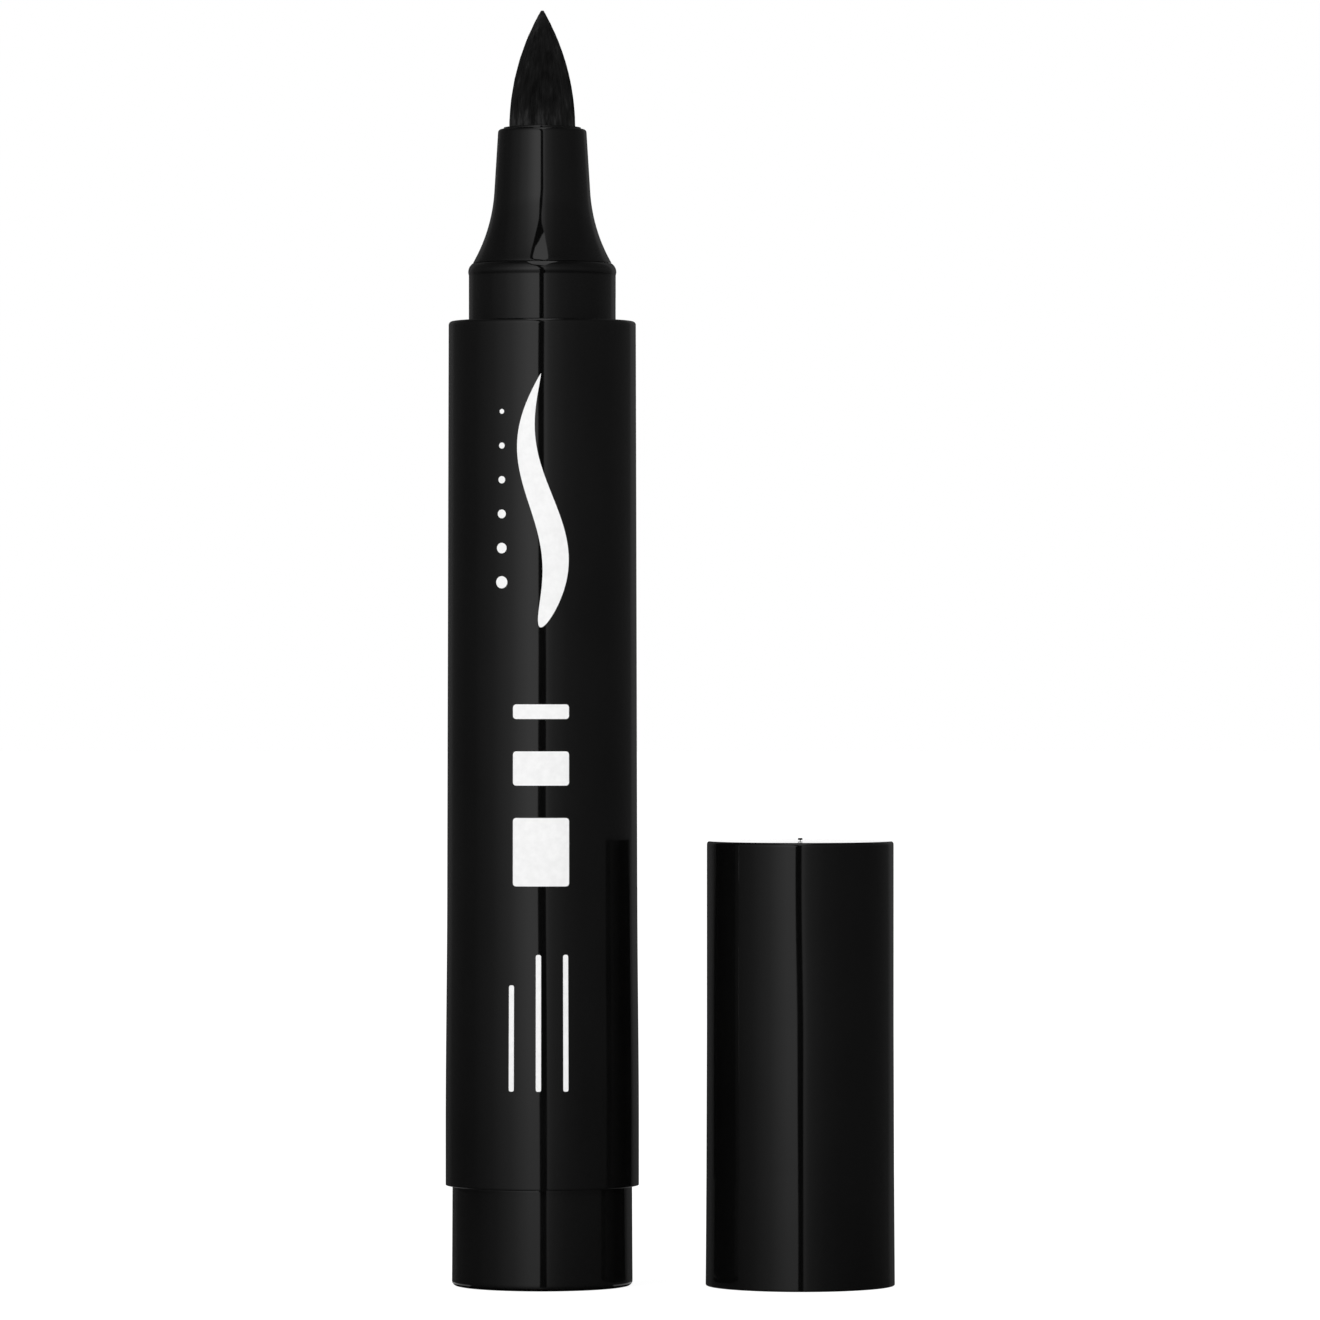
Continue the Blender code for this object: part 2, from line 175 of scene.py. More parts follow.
# %% Helpers that set blocks round a piece and combine them with it
def blocks_round(count, inner, outer, width, low, high, x=0.0):
    """Upright blocks set evenly round a vertical axis, from one radius to another."""
    form = bmesh.new()
    size = Matrix.Diagonal((outer - inner, width, high - low, 1))
    place = Matrix.Translation(((inner + outer) / 2, 0, (low + high) / 2))
    for index in range(count):
        turn = Matrix.Translation((x, 0, 0)) @ Matrix.Rotation(full_turn * index / count, 4, "Z")
        bmesh.ops.create_cube(form, size=1, matrix=turn @ place @ size)
    return form


def combine(piece, form, operation):
    """Fuses a bmesh of blocks to a piece, or cuts it out."""
    blocks = add_piece(piece.name + "_blocks", form)
    boolean = piece.modifiers.new("blocks", "BOOLEAN")
    boolean.operation = operation
    boolean.solver = "EXACT"
    boolean.object = blocks
    solid = bpy.data.meshes.new_from_object(piece.evaluated_get(bpy.context.evaluated_depsgraph_get()))
    solid.name = piece.name
    piece.modifiers.clear()
    piece.data = solid
    solid.shade_smooth()
    solid.set_sharp_from_angle(angle=sharp_angle)
    bpy.data.objects.remove(blocks, do_unlink=True)
    print(f"{piece.name}: {operation.lower()} with blocks leaves {len(solid.polygons)} faces")


form = blocks_round(4, 1, 2, 1, 0, 1)
print(f"a ring of four blocks has {len(form.faces)} faces")
form.free()

# %% [markdown]
# Dressing a piece
#
# A finished piece gets its finish and is tied to the body that it moves with, and the CAD nodes that it
# stands for are hidden. It is measured too, because a closed moulding has no open edge and a volume above
# zero.

# %% A helper that dresses a piece
def dress(piece, material, body, slot, *nodes):
    """Gives a piece its finish and its body, and hides the CAD nodes that it stands for. Its slot is not
    used.
    """
    piece.data.materials.clear()
    piece.data.materials.append(material)
    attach(piece, body)
    if nodes:
        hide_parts(*nodes)
    form = bmesh.new()
    form.from_mesh(piece.data)
    loose = sum(1 for edge in form.edges if not edge.is_manifold)
    volume = form.calc_volume() / mm ** 3
    print(f"{piece.name}: {len(form.faces)} faces, {loose} open edges, {volume:.1f} mm3")
    form.free()


# %% [markdown]
# Colours and nodes
#
# Colours are written as the hex codes that a colour picker shows, which are sRGB. Blender's shaders work in
# linear light, so one function converts them. Materials are made of nodes, which could be placed by hand in
# the editor. Here one function adds a node with its settings, the values of its sockets, its links and the
# stops of its colour ramp, so that a material reads like a list.

# %% A helper for colours
def linear(code):
    """The linear RGBA colour of an sRGB hex code."""
    shares = [int(code[place:place + 2], 16) / 255 for place in (1, 3, 5)]
    lit = [share / 12.92 if share <= 0.04045 else ((share + 0.055) / 1.055) ** 2.4 for share in shares]
    return [*lit, 1.0]


print(f"the sRGB grey #808080 is {linear('#808080')[0]:.3f} in linear light")

# %% Helpers for nodes and materials
def link(tree, node, sources):
    """Links sources into sockets of a node. A source is a socket, or a node for its first output."""
    for socket, source in sources.items():
        output = source.outputs[0] if isinstance(source, bpy.types.Node) else source
        tree.links.new(output, node.inputs[socket])


def add_node(tree, kind, values=None, sources=None, stops=(), **settings):
    """Adds a shader node. Values and sources go by socket, and stops are (place, colour) on a ramp."""
    node = tree.nodes.new("ShaderNode" + kind)
    for name, setting in settings.items():
        setattr(node, name, setting)
    for socket, value in (values or {}).items():
        node.inputs[socket].default_value = value
    link(tree, node, sources or {})
    for place, colour in stops[2:]:
        node.color_ramp.elements.new(place)
    for index, (place, colour) in enumerate(stops):
        node.color_ramp.elements[index].position = place
        node.color_ramp.elements[index].color = colour
    return node


def new_material(name, **values):
    """A Principled material. Its constant values go on the shader's own sockets."""
    material = bpy.data.materials.new(name)
    material.use_nodes = True
    shader = material.node_tree.nodes["Principled BSDF"]
    for socket, value in values.items():
        shader.inputs[socket.replace("_", " ")].default_value = value
    print(f"{name}: {values}")
    return material, material.node_tree, shader

# %% [markdown]
# Gloss black ABS
#
# The barrel, collar, nozzle, tail and cap are ABS, injection moulded in a mirror-polished mould. To the eye
# that is deep black with a clear, nearly sharp reflection. One even colour and gloss would look like black
# glass. What tells the plastic from it is small: the skin shrinks a little as it cools, so reflections
# waver over about a centimetre, a faint orange peel lies over that, and handling leaves haze and hairline
# scratches.
#
# The waver is a bump of a few hundredths of a millimetre. The peel and the scratches are far shallower, and
# the scratches are drawn wider than real ones, which are too fine for the render. The haze, in patches of a
# few millimetres, varies the tone and the roughness. Most of a noise's values lie between 0.3 and 0.7, so
# that range is spread over each of these.

# %% Sizes of the marks in the plastic
noise_low, noise_high = 0.3, 0.7
middle = {"From Min": noise_low, "From Max": noise_high}
shrinkage_size = 10 * mm
shrinkage_stretch = (1, 1, 0.55)
peel_size = 1.2 * mm
peel_depth = 0.00006 * mm
scratch_width = 0.2 * mm
scratch_stretch = (1, 1, 0.04)
scratch_tilt = (0.05, 0.04)
scratch_depth = 0.00004 * mm
haze_size = 5 * mm
clear_gloss, hazy_gloss = 0.05, 0.08
print(f"waver {shrinkage_size / mm:.0f} mm, haze {haze_size / mm:.0f} mm, peel {peel_size / mm:.1f} mm, "
      f"scratches {scratch_width / mm:.1f} mm wide")

# %% Make the gloss black plastic
def two_tones(low, high):
    """Ramp stops that spread the middle of a noise from one hex code to another."""
    return [(noise_low, linear(low)), (noise_high, linear(high))]


def polished_abs(name, waver=0.12 * mm, turn=0.0, tones=("#060606", "#090909"), mirror=0.5):
    """Black ABS from a polished mould. Waver is a noise's height, and turn gives a piece marks of its own."""
    material, tree, shader = new_material(name, IOR=1.5, Specular_IOR_Level=mirror)
    source = add_node(tree, "TexCoord").outputs["Object"]
    skin = add_node(tree, "Mapping", {"Scale": shrinkage_stretch, "Rotation": (0, 0, turn)},
                    {"Vector": source})
    along = add_node(tree, "Mapping", {"Scale": scratch_stretch, "Rotation": (*scratch_tilt, turn)},
                     {"Vector": source})
    shrinkage = add_node(tree, "TexNoise", {"Scale": 1 / shrinkage_size, "Detail": 0.0}, {"Vector": skin})
    peel = add_node(tree, "TexNoise", {"Scale": 1 / peel_size, "Detail": 1.0}, {"Vector": skin})
    scratches = add_node(tree, "TexNoise", {"Scale": 1 / scratch_width, "Roughness": 0.6},
                         {"Vector": along})
    shrunk = add_node(tree, "Bump", {"Distance": waver}, {"Height": shrinkage})
    peeled = add_node(tree, "Bump", {"Distance": peel_depth}, {"Height": peel, "Normal": shrunk})
    scratched = add_node(tree, "Bump", {"Distance": scratch_depth}, {"Height": scratches, "Normal": peeled})
    haze = add_node(tree, "TexNoise", {"Scale": 1 / haze_size, "Detail": 3.0}, {"Vector": skin})
    tone = add_node(tree, "ValToRGB", None, {"Fac": haze}, two_tones(*tones))
    gloss = add_node(tree, "MapRange", {**middle, "To Min": clear_gloss, "To Max": hazy_gloss},
                     {"Value": haze})
    link(tree, shader, {"Base Color": tone, "Roughness": gloss, "Normal": scratched})
    return material


barrel_black = polished_abs("gloss_black_abs_barrel")
print(f"{barrel_black.name} has {len(barrel_black.node_tree.nodes)} nodes")

# %% [markdown]
# The barrel
#
# The barrel is a tube with a slight draft, so that it leaves its mould. Towards the tail it flares by an
# eighth of a millimetre and ends in a straight band. A lip at the front traps the collar, and six ribs down
# the bore centre the reservoir.
#
# The flare bends the long reflection, so it has to be smooth. A corner with a large rounding would make it a
# plain arc with a kink of light at each end, so its points come from an easing curve instead.

# %% Sizes of the barrel
barrel_low, barrel_top = levels("barrel")
flange_low = levels("collar_ring")[0]
spigot_top = levels("tail_plug")[1]
barrel_foot = radius_of("barrel")
barrel_flare = 0.13 * mm
barrel_draft = 0.12 * mm
barrel_waist = barrel_foot - barrel_flare
barrel_front = barrel_waist - barrel_draft
waist_level = barrel_low + 25 * mm
band_level = barrel_low + 5 * mm
barrel_wall = 1.0 * mm
bore = barrel_front - barrel_wall
bore_draft = 0.15 * mm
collar = 6.08 * mm
bead_height = 0.05 * mm
fit_clearance = 0.06 * mm
lip_hole = collar + bead_height + fit_clearance
lip_height = 1.2 * mm
lip_edge = 0.08 * mm
front_edge = 0.3 * mm
foot_edge = 0.05 * mm
bore_edge = 0.06 * mm
print(f"radius {barrel_front / mm:.2f} mm in front, {barrel_waist / mm:.2f} mm at the waist, "
      f"{barrel_foot / mm:.2f} mm at the foot")

# %% Turn the barrel
flare_steps = 28


def barrel_radius(level):
    """The barrel's outer radius at a level: a straight draft, then an eased flare, then the band."""
    if level > waist_level:
        return barrel_waist - barrel_draft * (level - waist_level) / (barrel_top - waist_level)
    share = min(1.0, (waist_level - level) / (waist_level - band_level))
    return barrel_waist + barrel_flare * share * share * (3 - 2 * share)


flare = [waist_level + (band_level - waist_level) * index / flare_steps for index in range(flare_steps + 1)]
corners = [(lip_hole, barrel_top, lip_edge), (barrel_front, barrel_top, front_edge)]
corners += [(barrel_radius(level), level, 0) for level in flare]
corners += [
    (barrel_foot, barrel_low, foot_edge),
    (bore + bore_draft, barrel_low, bore_edge),
    (bore + bore_draft, spigot_top, 0),
    (bore, flange_low, 0),
    (bore, barrel_top - lip_height, 0),
    (lip_hole, barrel_top - lip_height, 0),
]
barrel = add_piece("barrel_tube", spun(corners, closed=True))
print(f"{len(corners)} corners make {len(barrel.data.polygons)} faces")

# %% Fuse the ribs to the bore and dress the barrel
rib_count = 6
rib_height = 0.3 * mm
rib_width = 0.8 * mm
rib_end_gap = 1.0 * mm
root = 0.3 * mm
combine(barrel, blocks_round(rib_count, bore - rib_height, bore + root, rib_width,
                             spigot_top + rib_end_gap, flange_low - rib_end_gap), "UNION")
dress(barrel, barrel_black, "pen", "barrel_plastic", "barrel")

# %% [markdown]
# The collar
#
# The cap slides over the collar and clicks past a low bead just under its rim. A flange behind the barrel's
# lip holds the collar in. The bead could be one corner with a rounding, but it bulges by only a twentieth of
# a millimetre. An arc that springs from the collar's side says that directly, and a small chamfer leads from
# it to the rim.

# %% A helper that draws an arc
def arc(centre, radius, start, end, steps):
    """Corners along a circle in the profile plane. Angles are in degrees, 0 outwards and 90 up."""
    turns = [math.radians(start + (end - start) * index / steps) for index in range(steps + 1)]
    return [(centre[0] + radius * math.cos(turn), centre[1] + radius * math.sin(turn), 0) for turn in turns]


for radius, level, rounding in arc((0, 0), 1, 0, 90, 2):
    print(f"a quarter circle in two steps passes {radius:.3f}, {level:.3f}")

# %% Turn the collar
collar_top = levels("collar_ring")[1]
flange = radius_of("collar_ring")
seat_gap = 0.05 * mm
flange_top = barrel_top - lip_height - seat_gap
flange_chamfer = 0.3 * mm
collar_wall = 0.97 * mm
collar_bore = collar - collar_wall
rim_rounding = 0.02 * mm
bead_round = 0.85 * mm
bead_chamfer = 0.07 * mm
bead_end = 45
bead_steps = 16
bead_centre = collar + bead_height - bead_round
bead_level = collar_top - bead_round * math.sin(math.radians(bead_end)) - bead_chamfer
bead_foot = math.degrees(math.acos((collar - bead_centre) / bead_round))
collar_rim = bead_centre + bead_round * math.cos(math.radians(bead_end)) - bead_chamfer
corners = [(collar_bore, collar_top, 0), (collar_rim, collar_top, rim_rounding)]
corners += arc((bead_centre, bead_level), bead_round, bead_end, -bead_foot, bead_steps)
corners += [
    (collar, flange_top, 0),
    (flange, flange_top, 0),
    (flange, flange_low + flange_chamfer, 0),
    (flange - flange_chamfer, flange_low, 0),
    (collar_bore, flange_low, 0),
]
collar_moulding = add_piece("collar_moulding", spun(corners, closed=True))
collar_black = polished_abs("gloss_black_abs_collar", waver=0.06 * mm, turn=0.7)
dress(collar_moulding, collar_black, "pen", "collar_plastic", "collar_ring")

# %% [markdown]
# The nozzle
#
# The nozzle grips the brush. Its neck is nearly straight, then it flares to a foot that stands on the
# collar's rim. Inside, a stem with four slots snaps into the collar, and grooves let air past the brush.
#
# The flare could be a spline drawn by eye. One arc that starts along the neck's own slope is simpler, and the
# reflection runs over the joint without a kink.

# %% Sizes of the nozzle
stem_low, nozzle_top = levels("nozzle")
brush_low, brush_top = levels("brush_tip")
foot = radius_of("nozzle")
foot_level = collar_top + seat_gap
foot_land = 0.15 * mm
foot_slant = 0.07 * mm
foot_rounding = 0.03 * mm
brush = 2.74 * mm
brush_bore = brush + fit_clearance
mouth_rounding = 0.03 * mm
rim_lip_width = 0.4 * mm
rim_lip_height = 0.15 * mm
rim_lip_rounding = 0.05 * mm
rim_lip_fillet = 0.02 * mm
tip = brush_bore + 0.85 * mm
tip_edge = 0.25 * mm
neck_drop = 5.3 * mm
neck_draft = 0.32 * mm
stem = collar_bore - fit_clearance
stem_bore = stem - 1.0 * mm
stem_end = 0.6 * mm
barb_top = flange_low - seat_gap
barb_depth = 0.3 * mm
barb_height = 1.2 * mm
brush_shoulder = nozzle_top - 9.0 * mm
brush_pocket = 3.34 * mm
pocket_low = brush_low - seat_gap
print(f"tip {tip / mm:.2f} mm, foot {foot / mm:.2f} mm, stem bore {stem_bore / mm:.2f} mm in radius")

# %% The outside of the nozzle
flare_arc_steps = 30


def tangent_arc(start, slope, end, steps):
    """Corners on the circle that leaves start along slope and passes through end."""
    run = (end - start).to_2d()
    across = Vector((-slope.y, slope.x))
    radius = run.length_squared / (2 * run.dot(across))
    centre = start + across * radius
    first, last = (math.degrees(math.atan2(*(point - centre).yx)) for point in (start, end))
    sweep = math.remainder(last - first, 360)
    return arc(centre, abs(radius), first, first + sweep, steps)


rim_level = nozzle_top - rim_lip_height
neck = Vector((tip + neck_draft, nozzle_top - neck_drop))
neck_slope = Vector((neck_draft, -neck_drop)).normalized()
flare_end = Vector((foot - foot_slant, foot_level + foot_land))
outside = [
    (brush_bore, nozzle_top, mouth_rounding),
    (brush_bore + rim_lip_width, nozzle_top, rim_lip_rounding),
    (brush_bore + rim_lip_width, rim_level, rim_lip_fillet),
    (tip, rim_level, tip_edge),
    *tangent_arc(neck, neck_slope, flare_end, flare_arc_steps),
    (foot, foot_level, foot_rounding),
]
print(f"{len(outside)} corners from the brush's mouth down to the foot")

# %% Turn the nozzle round its stem and bores
inside = [
    (stem, foot_level, 0),
    (stem, barb_top, 0),
    (stem + barb_depth, barb_top, 0),
    (stem + barb_depth, barb_top - barb_height / 2, 0),
    (stem, stem_low + stem_end, 0),
    (stem, stem_low, 0),
    (stem_bore, stem_low, 0),
    (stem_bore, pocket_low, 0),
    (brush_pocket, pocket_low, 0),
    (brush_pocket, brush_shoulder, 0),
    (brush_bore, brush_shoulder, 0),
]
nozzle = add_piece("nozzle_moulding", spun(outside + inside, closed=True))
print(f"{len(nozzle.data.polygons)} faces")

# %% Cut the snap slots and the vents, and dress the nozzle
slot_count = 4
slot_width = 1.2 * mm
slot_height = 5.0 * mm
vent_count = 4
vent_width = 0.6 * mm
vent_depth = 0.4 * mm
vent_stop = 1.5 * mm
overrun = 1.0 * mm
combine(nozzle, blocks_round(slot_count, stem_bore - overrun, stem + barb_depth + overrun, slot_width,
                             stem_low - overrun, stem_low + slot_height), "DIFFERENCE")
combine(nozzle, blocks_round(vent_count, brush_bore - vent_depth, brush_bore + vent_depth, vent_width,
                             pocket_low + seat_gap, nozzle_top - vent_stop), "DIFFERENCE")
nozzle_black = polished_abs("gloss_black_abs_nozzle", waver=0.07 * mm, turn=1.9)
dress(nozzle, nozzle_black, "pen", "nozzle_plastic", "nozzle")

# %% [markdown]
# The tail
#
# The tail closes the barrel and is what the pen stands on. Only its knob shows. It could be that knob alone,
# but the real one is a plug: its hollow spigot has a snap ridge inside the barrel, and a cross-shaped web
# stiffens it. All of that is one more stretch of the same profile, so it costs little.

# %% Turn the tail
knob = radius_of("tail_plug")
knob_draft = 0.04 * mm
knob_edge = 0.4 * mm
shoulder = barrel_low - 0.02 * mm
shoulder_edge = 0.03 * mm
tail_floor = 1.6 * mm
spigot = bore + bore_draft - fit_clearance
spigot_chamfer = 0.4 * mm
cup = spigot - 1.1 * mm
post = 1.0 * mm
ridge_level = shoulder + 2.8 * mm
ridge_half = 0.4 * mm
ridge_depth = 0.12 * mm
corners = [
    (0, spigot_top, 0),
    (post, spigot_top, 0),
    (post, tail_floor, 0),
    (cup, tail_floor, 0),
    (cup, spigot_top, 0),
    (spigot - spigot_chamfer, spigot_top, 0),
    (spigot, spigot_top - spigot_chamfer, 0),
    (spigot, ridge_level + ridge_half, 0),
    (spigot + ridge_depth, ridge_level + ridge_half - ridge_depth, 0),
    (spigot + ridge_depth, ridge_level - ridge_half + ridge_depth, 0),
    (spigot, ridge_level - ridge_half, 0),
    (spigot, shoulder, 0),
    (knob - knob_draft, shoulder, shoulder_edge),
    (knob, 0, knob_edge),
    (0, 0, 0),
]
tail = add_piece("tail_moulding", spun(corners))
print(f"{len(corners)} corners make {len(tail.data.polygons)} faces")

# %% Fuse the web and dress the tail
web_count = 4
web_width = 0.9 * mm
combine(tail, blocks_round(web_count, post - root, cup + root, web_width,
                           tail_floor - root, spigot_top - spigot_chamfer), "UNION")
dress(tail, polished_abs("gloss_black_abs_tail", turn=2.6), "pen", "tail_plastic", "tail_plug")

# %% [markdown]
# The cap
#
# The cap is a plain cup, standing mouth down, with its closed end up. In the middle of that end is the tiny
# nub where the plastic entered the mould. The lower half flares by a tenth of a millimetre towards the mouth,
# and inside the mouth a low ring clicks behind the collar's bead.
#
# A cylinder with a Solidify modifier would give a cup of even wall. The turned profile also gives the bore's
# draft, the click ring and the nub, and a rounding of its own to each edge.

# %% Sizes of the cap
gate_top = levels("cap_shell")[1]
cap_top = gate_top - 0.25 * mm
gate = 0.19 * mm
gate_neck = 0.03 * mm
gate_low = cap_top + 0.09 * mm
gate_edge = 0.05 * mm
cap_mouth = radius_of("cap_shell")
cap_body = cap_mouth - 0.1 * mm
cap_flare_level = 15.5 * mm
cap_flare_rounding = 6.0 * mm
cap_top_edge = 0.25 * mm
cap_mouth_edge = 0.1 * mm
cap_bore = cap_body - 1.48 * mm
cap_bore_top = cap_bore - 0.1 * mm
cap_bore_edge = 0.05 * mm
mouth_chamfer = 0.35 * mm
chamfer_edge = 0.1 * mm
ceiling = cap_top - 1.5 * mm
ceiling_fillet = 0.3 * mm
snap_depth = 0.15 * mm
snap_top = bead_level - barrel_top - 0.5 * mm
snap_low = snap_top - 0.7 * mm
snap_edge = 0.05 * mm
print(f"the click ring is {snap_low / mm:.2f} to {snap_top / mm:.2f} mm above the cap's mouth")

# %% Turn the cap and dress it
corners = [
    (0, gate_top, 0),
    (gate, gate_top, gate_edge),
    (gate, gate_low, gate_edge),
    (gate_neck, gate_low, 0),
    (gate_neck, cap_top, 0),
    (cap_body, cap_top, cap_top_edge),
    (cap_body, cap_flare_level, cap_flare_rounding),
    (cap_mouth, 0, cap_mouth_edge),
    (cap_bore + mouth_chamfer, 0, cap_bore_edge),
    (cap_bore, mouth_chamfer, chamfer_edge),
    (cap_bore, snap_low - snap_depth, 0),
    (cap_bore - snap_depth, snap_low, snap_edge),
    (cap_bore - snap_depth, snap_top, snap_edge),
    (cap_bore, snap_top + snap_depth, 0),
    (cap_bore_top, ceiling, ceiling_fillet),
    (0, ceiling, 0),
]
cap = add_piece("cap_moulding", spun(corners, x=cap_x))
cap_black = polished_abs("gloss_black_abs_cap", waver=0.2 * mm, turn=3.4, tones=("#060606", "#080808"),
                         mirror=0.44)
dress(cap, cap_black, "cap", "cap_plastic", "cap_shell")

# %% [markdown]
# The inner cap
#
# A soft natural-coloured cup sits inside the cap. Its lip closes round the nozzle's neck, so that the ink in
# the brush can't dry, and six fins centre it in the bore. It shows only from below, past the cap's mouth. A
# plain disc up there would look empty, so the whole cup is turned, with fewer steps because it is small.

# %% Turn the inner cap
inner_low, inner_top = levels("inner_cap")
small_ring_steps = 96
lid_low = inner_top - 1.0 * mm
disc = radius_of("inner_cap")
disc_edge = 0.1 * mm
seal = 3.888 * mm
seal_lead = 0.4 * mm
seal_top = inner_low + seal_lead + 0.8 * mm
seal_edge = 0.1 * mm
lead_edge = 0.08 * mm
relief = 0.12 * mm
cup_bore = seal + relief
cup_ceiling_fillet = 0.3 * mm
tube = cup_bore + 0.9 * mm
tube_edge = 0.2 * mm
corners = [
    (0, inner_top, 0),
    (disc, inner_top, disc_edge),
    (disc, lid_low, disc_edge),
    (tube, lid_low, tube_edge),
    (tube, inner_low, tube_edge),
    (seal + seal_lead, inner_low, lead_edge),
    (seal, inner_low + seal_lead, seal_edge),
    (seal, seal_top, seal_edge),
    (cup_bore, seal_top + relief, 0),
    (cup_bore, lid_low, cup_ceiling_fillet),
    (0, lid_low, 0),
]
inner_cap = add_piece("inner_cap_liner", spun(corners, x=cap_x, steps=small_ring_steps))
print(f"{len(inner_cap.data.polygons)} faces, wall {(tube - cup_bore) / mm:.2f} mm")

# %% Fuse the fins
fin_count = 6
fin_width = 0.8 * mm
fin_low = inner_low + 1.2 * mm
fin_top = inner_top - 0.5 * mm
combine(inner_cap, blocks_round(fin_count, tube - root, disc, fin_width, fin_low, fin_top, cap_x), "UNION")
print(f"{fin_count} fins, {len(inner_cap.data.polygons)} faces")

# %% [markdown]
# Natural plastics
#
# The inner cap is low-density polyethylene and the brush retainer is polypropylene, both moulded without
# pigment. They look milky: off-white, slightly warm, with a satin skin and no sharp reflection. Faint flow
# marks, a few millimetres long, come from the way the plastic filled the mould.
#
# One noise can set the tone, the dullness and the relief together, because a flow mark changes all three in
# the same place. The fibres, the film and the ink further on are grained in the same way.

# %% Make the natural plastics
flow_size = 2.5 * mm
flow_stretch = (1, 1, 0.3)
flow_depth = 0.0005 * mm


def grained(name, size, tones, dullness, depth, stretch=(1, 1, 1), detail=2.0, rough=0.5, **values):
    """A finish in which one noise sets the tone, the dullness and the relief."""
    material, tree, shader = new_material(name, **values)
    source = add_node(tree, "TexCoord").outputs["Object"]
    place = add_node(tree, "Mapping", {"Scale": stretch}, {"Vector": source})
    grain = add_node(tree, "TexNoise", {"Scale": 1 / size, "Detail": detail, "Roughness": rough},
                     {"Vector": place})
    tone = add_node(tree, "ValToRGB", None, {"Fac": grain}, two_tones(*tones))
    dull = add_node(tree, "MapRange", {**middle, "To Min": dullness[0], "To Max": dullness[1]},
                    {"Value": grain})
    relief = add_node(tree, "Bump", {"Distance": depth}, {"Height": grain})
    link(tree, shader, {"Base Color": tone, "Roughness": dull, "Normal": relief})
    return material


ldpe = grained("natural_ldpe_inner_cap", flow_size, ("#D9D8CC", "#E6E5DB"), (0.37, 0.47), flow_depth,
               flow_stretch, 3.0, IOR=1.51)
polypropylene = grained("natural_pp_retainer", flow_size, ("#D6D5CB", "#E2E1D8"), (0.33, 0.43), flow_depth,
                        flow_stretch, 3.0, IOR=1.51)
dress(inner_cap, ldpe, "cap", "inner_cap_plastic", "inner_cap")

# %% [markdown]
# The brush
#
# The brush is a bundle of fine tapered bristles, fused into a flange at its root and drawn to a point. Its
# outline is an ogive, which is an arc that runs from the straight root to the tip. Modelling every one of
# the thousand bristles would be wasteful, because the inner ones never show, and a particle system would be
# lost on export. So a closed core, a little inside the outline, carries the bundle's mass, and some hundreds
# of bristles lie on it.

# %% The outline of the brush
brush_taper = 10.0 * mm
point_radius = 0.12 * mm
ogive = (brush_taper ** 2 + brush ** 2) / (2 * brush)
ogive_centre = ogive - brush
taper_level = brush_top - math.sqrt(ogive ** 2 - (ogive_centre + point_radius) ** 2)


def brush_radius(level):
    """The bundle's radius at a level: straight at the root, then the ogive."""
    rise = max(0.0, level - taper_level)
    return math.sqrt(ogive ** 2 - rise ** 2) - ogive_centre


print(f"ogive radius {ogive / mm:.2f} mm, starting {(taper_level - nozzle_top) / mm:.2f} mm above the nozzle")

# %% Turn the core of the brush
core_steps = 24
core_top = brush_top - 0.15 * mm
core_point = 0.02 * mm
bristle_layer = 0.09 * mm
brush_flange = 3.04 * mm
flange_height = 1.0 * mm
wick_hole = 1.2 * mm
wick_hole_top = levels("feed_wick")[1] + 0.3 * mm
core_levels = [core_top + (taper_level - core_top) * index / core_steps for index in range(core_steps + 1)]
corners = [(0, core_top + core_point, 0)]
corners += [(brush_radius(level) - bristle_layer, level, 0) for level in core_levels]
corners += [
    (brush - bristle_layer, brush_low + flange_height, 0),
    (brush_flange, brush_low + flange_height, 0),
    (brush_flange, brush_low, 0),
    (wick_hole, brush_low, 0),
    (wick_hole, wick_hole_top, 0),
    (0, wick_hole_top, 0),
]
brush_core = add_piece("brush_core", spun(corners, steps=small_ring_steps))
print(f"the core's point has a radius of {(brush_radius(core_top) - bristle_layer) / mm:.3f} mm")

# %% [markdown]
# The bristles
#
# Each bristle is a four-sided cone with a few bends, which is all that shows at this size. One is made with
# operators, and copies of it are bent along the outline. A curve for each would need a bevel and an end cap
# hundreds of times.
#
# Bristles crowd where the bundle narrows, so some end below the tip, more of them the higher up. They start
# inside the nozzle, where their roots are hidden. The golden angle spreads them evenly, and a little scatter
# in depth and direction makes strands and clumps that catch the light near the nozzle.

# %% Make one straight bristle
bristle_bends = 6
bristle_root = 0.055 * mm
bristle_end = 0.018 * mm


def straight_bristle():
    """One straight tapered bristle, a unit long and standing on zero, as a mesh to copy."""
    form = bmesh.new()
    bmesh.ops.create_cone(form, cap_ends=True, segments=4, radius1=bristle_root, radius2=bristle_end, depth=1,
                          matrix=Matrix.Translation((0, 0, 0.5)))
    sides = [edge for edge in form.edges if edge.calc_length() > 0.5]
    bmesh.ops.subdivide_edges(form, edges=sides, cuts=bristle_bends - 1)
    mesh = bpy.data.meshes.new("straight_bristle")
    form.to_mesh(mesh)
    form.free()
    return mesh


straight = straight_bristle()
print(f"one bristle has {len(straight.polygons)} faces")

# %% How the bristles lie
bristle_count = 760
root_level = nozzle_top - 1.2 * mm
golden_turn = math.pi * (3 - math.sqrt(5))
clumps = 23
clump_sway = 0.05
turn_scatter = 0.012
end_spread = 0.75
end_gap = 0.02 * mm
depth_scatter = 0.025 * mm
drift_scatter = 0.05
scatter = random.Random(12)
print(f"the golden angle is {math.degrees(golden_turn):.1f} degrees")

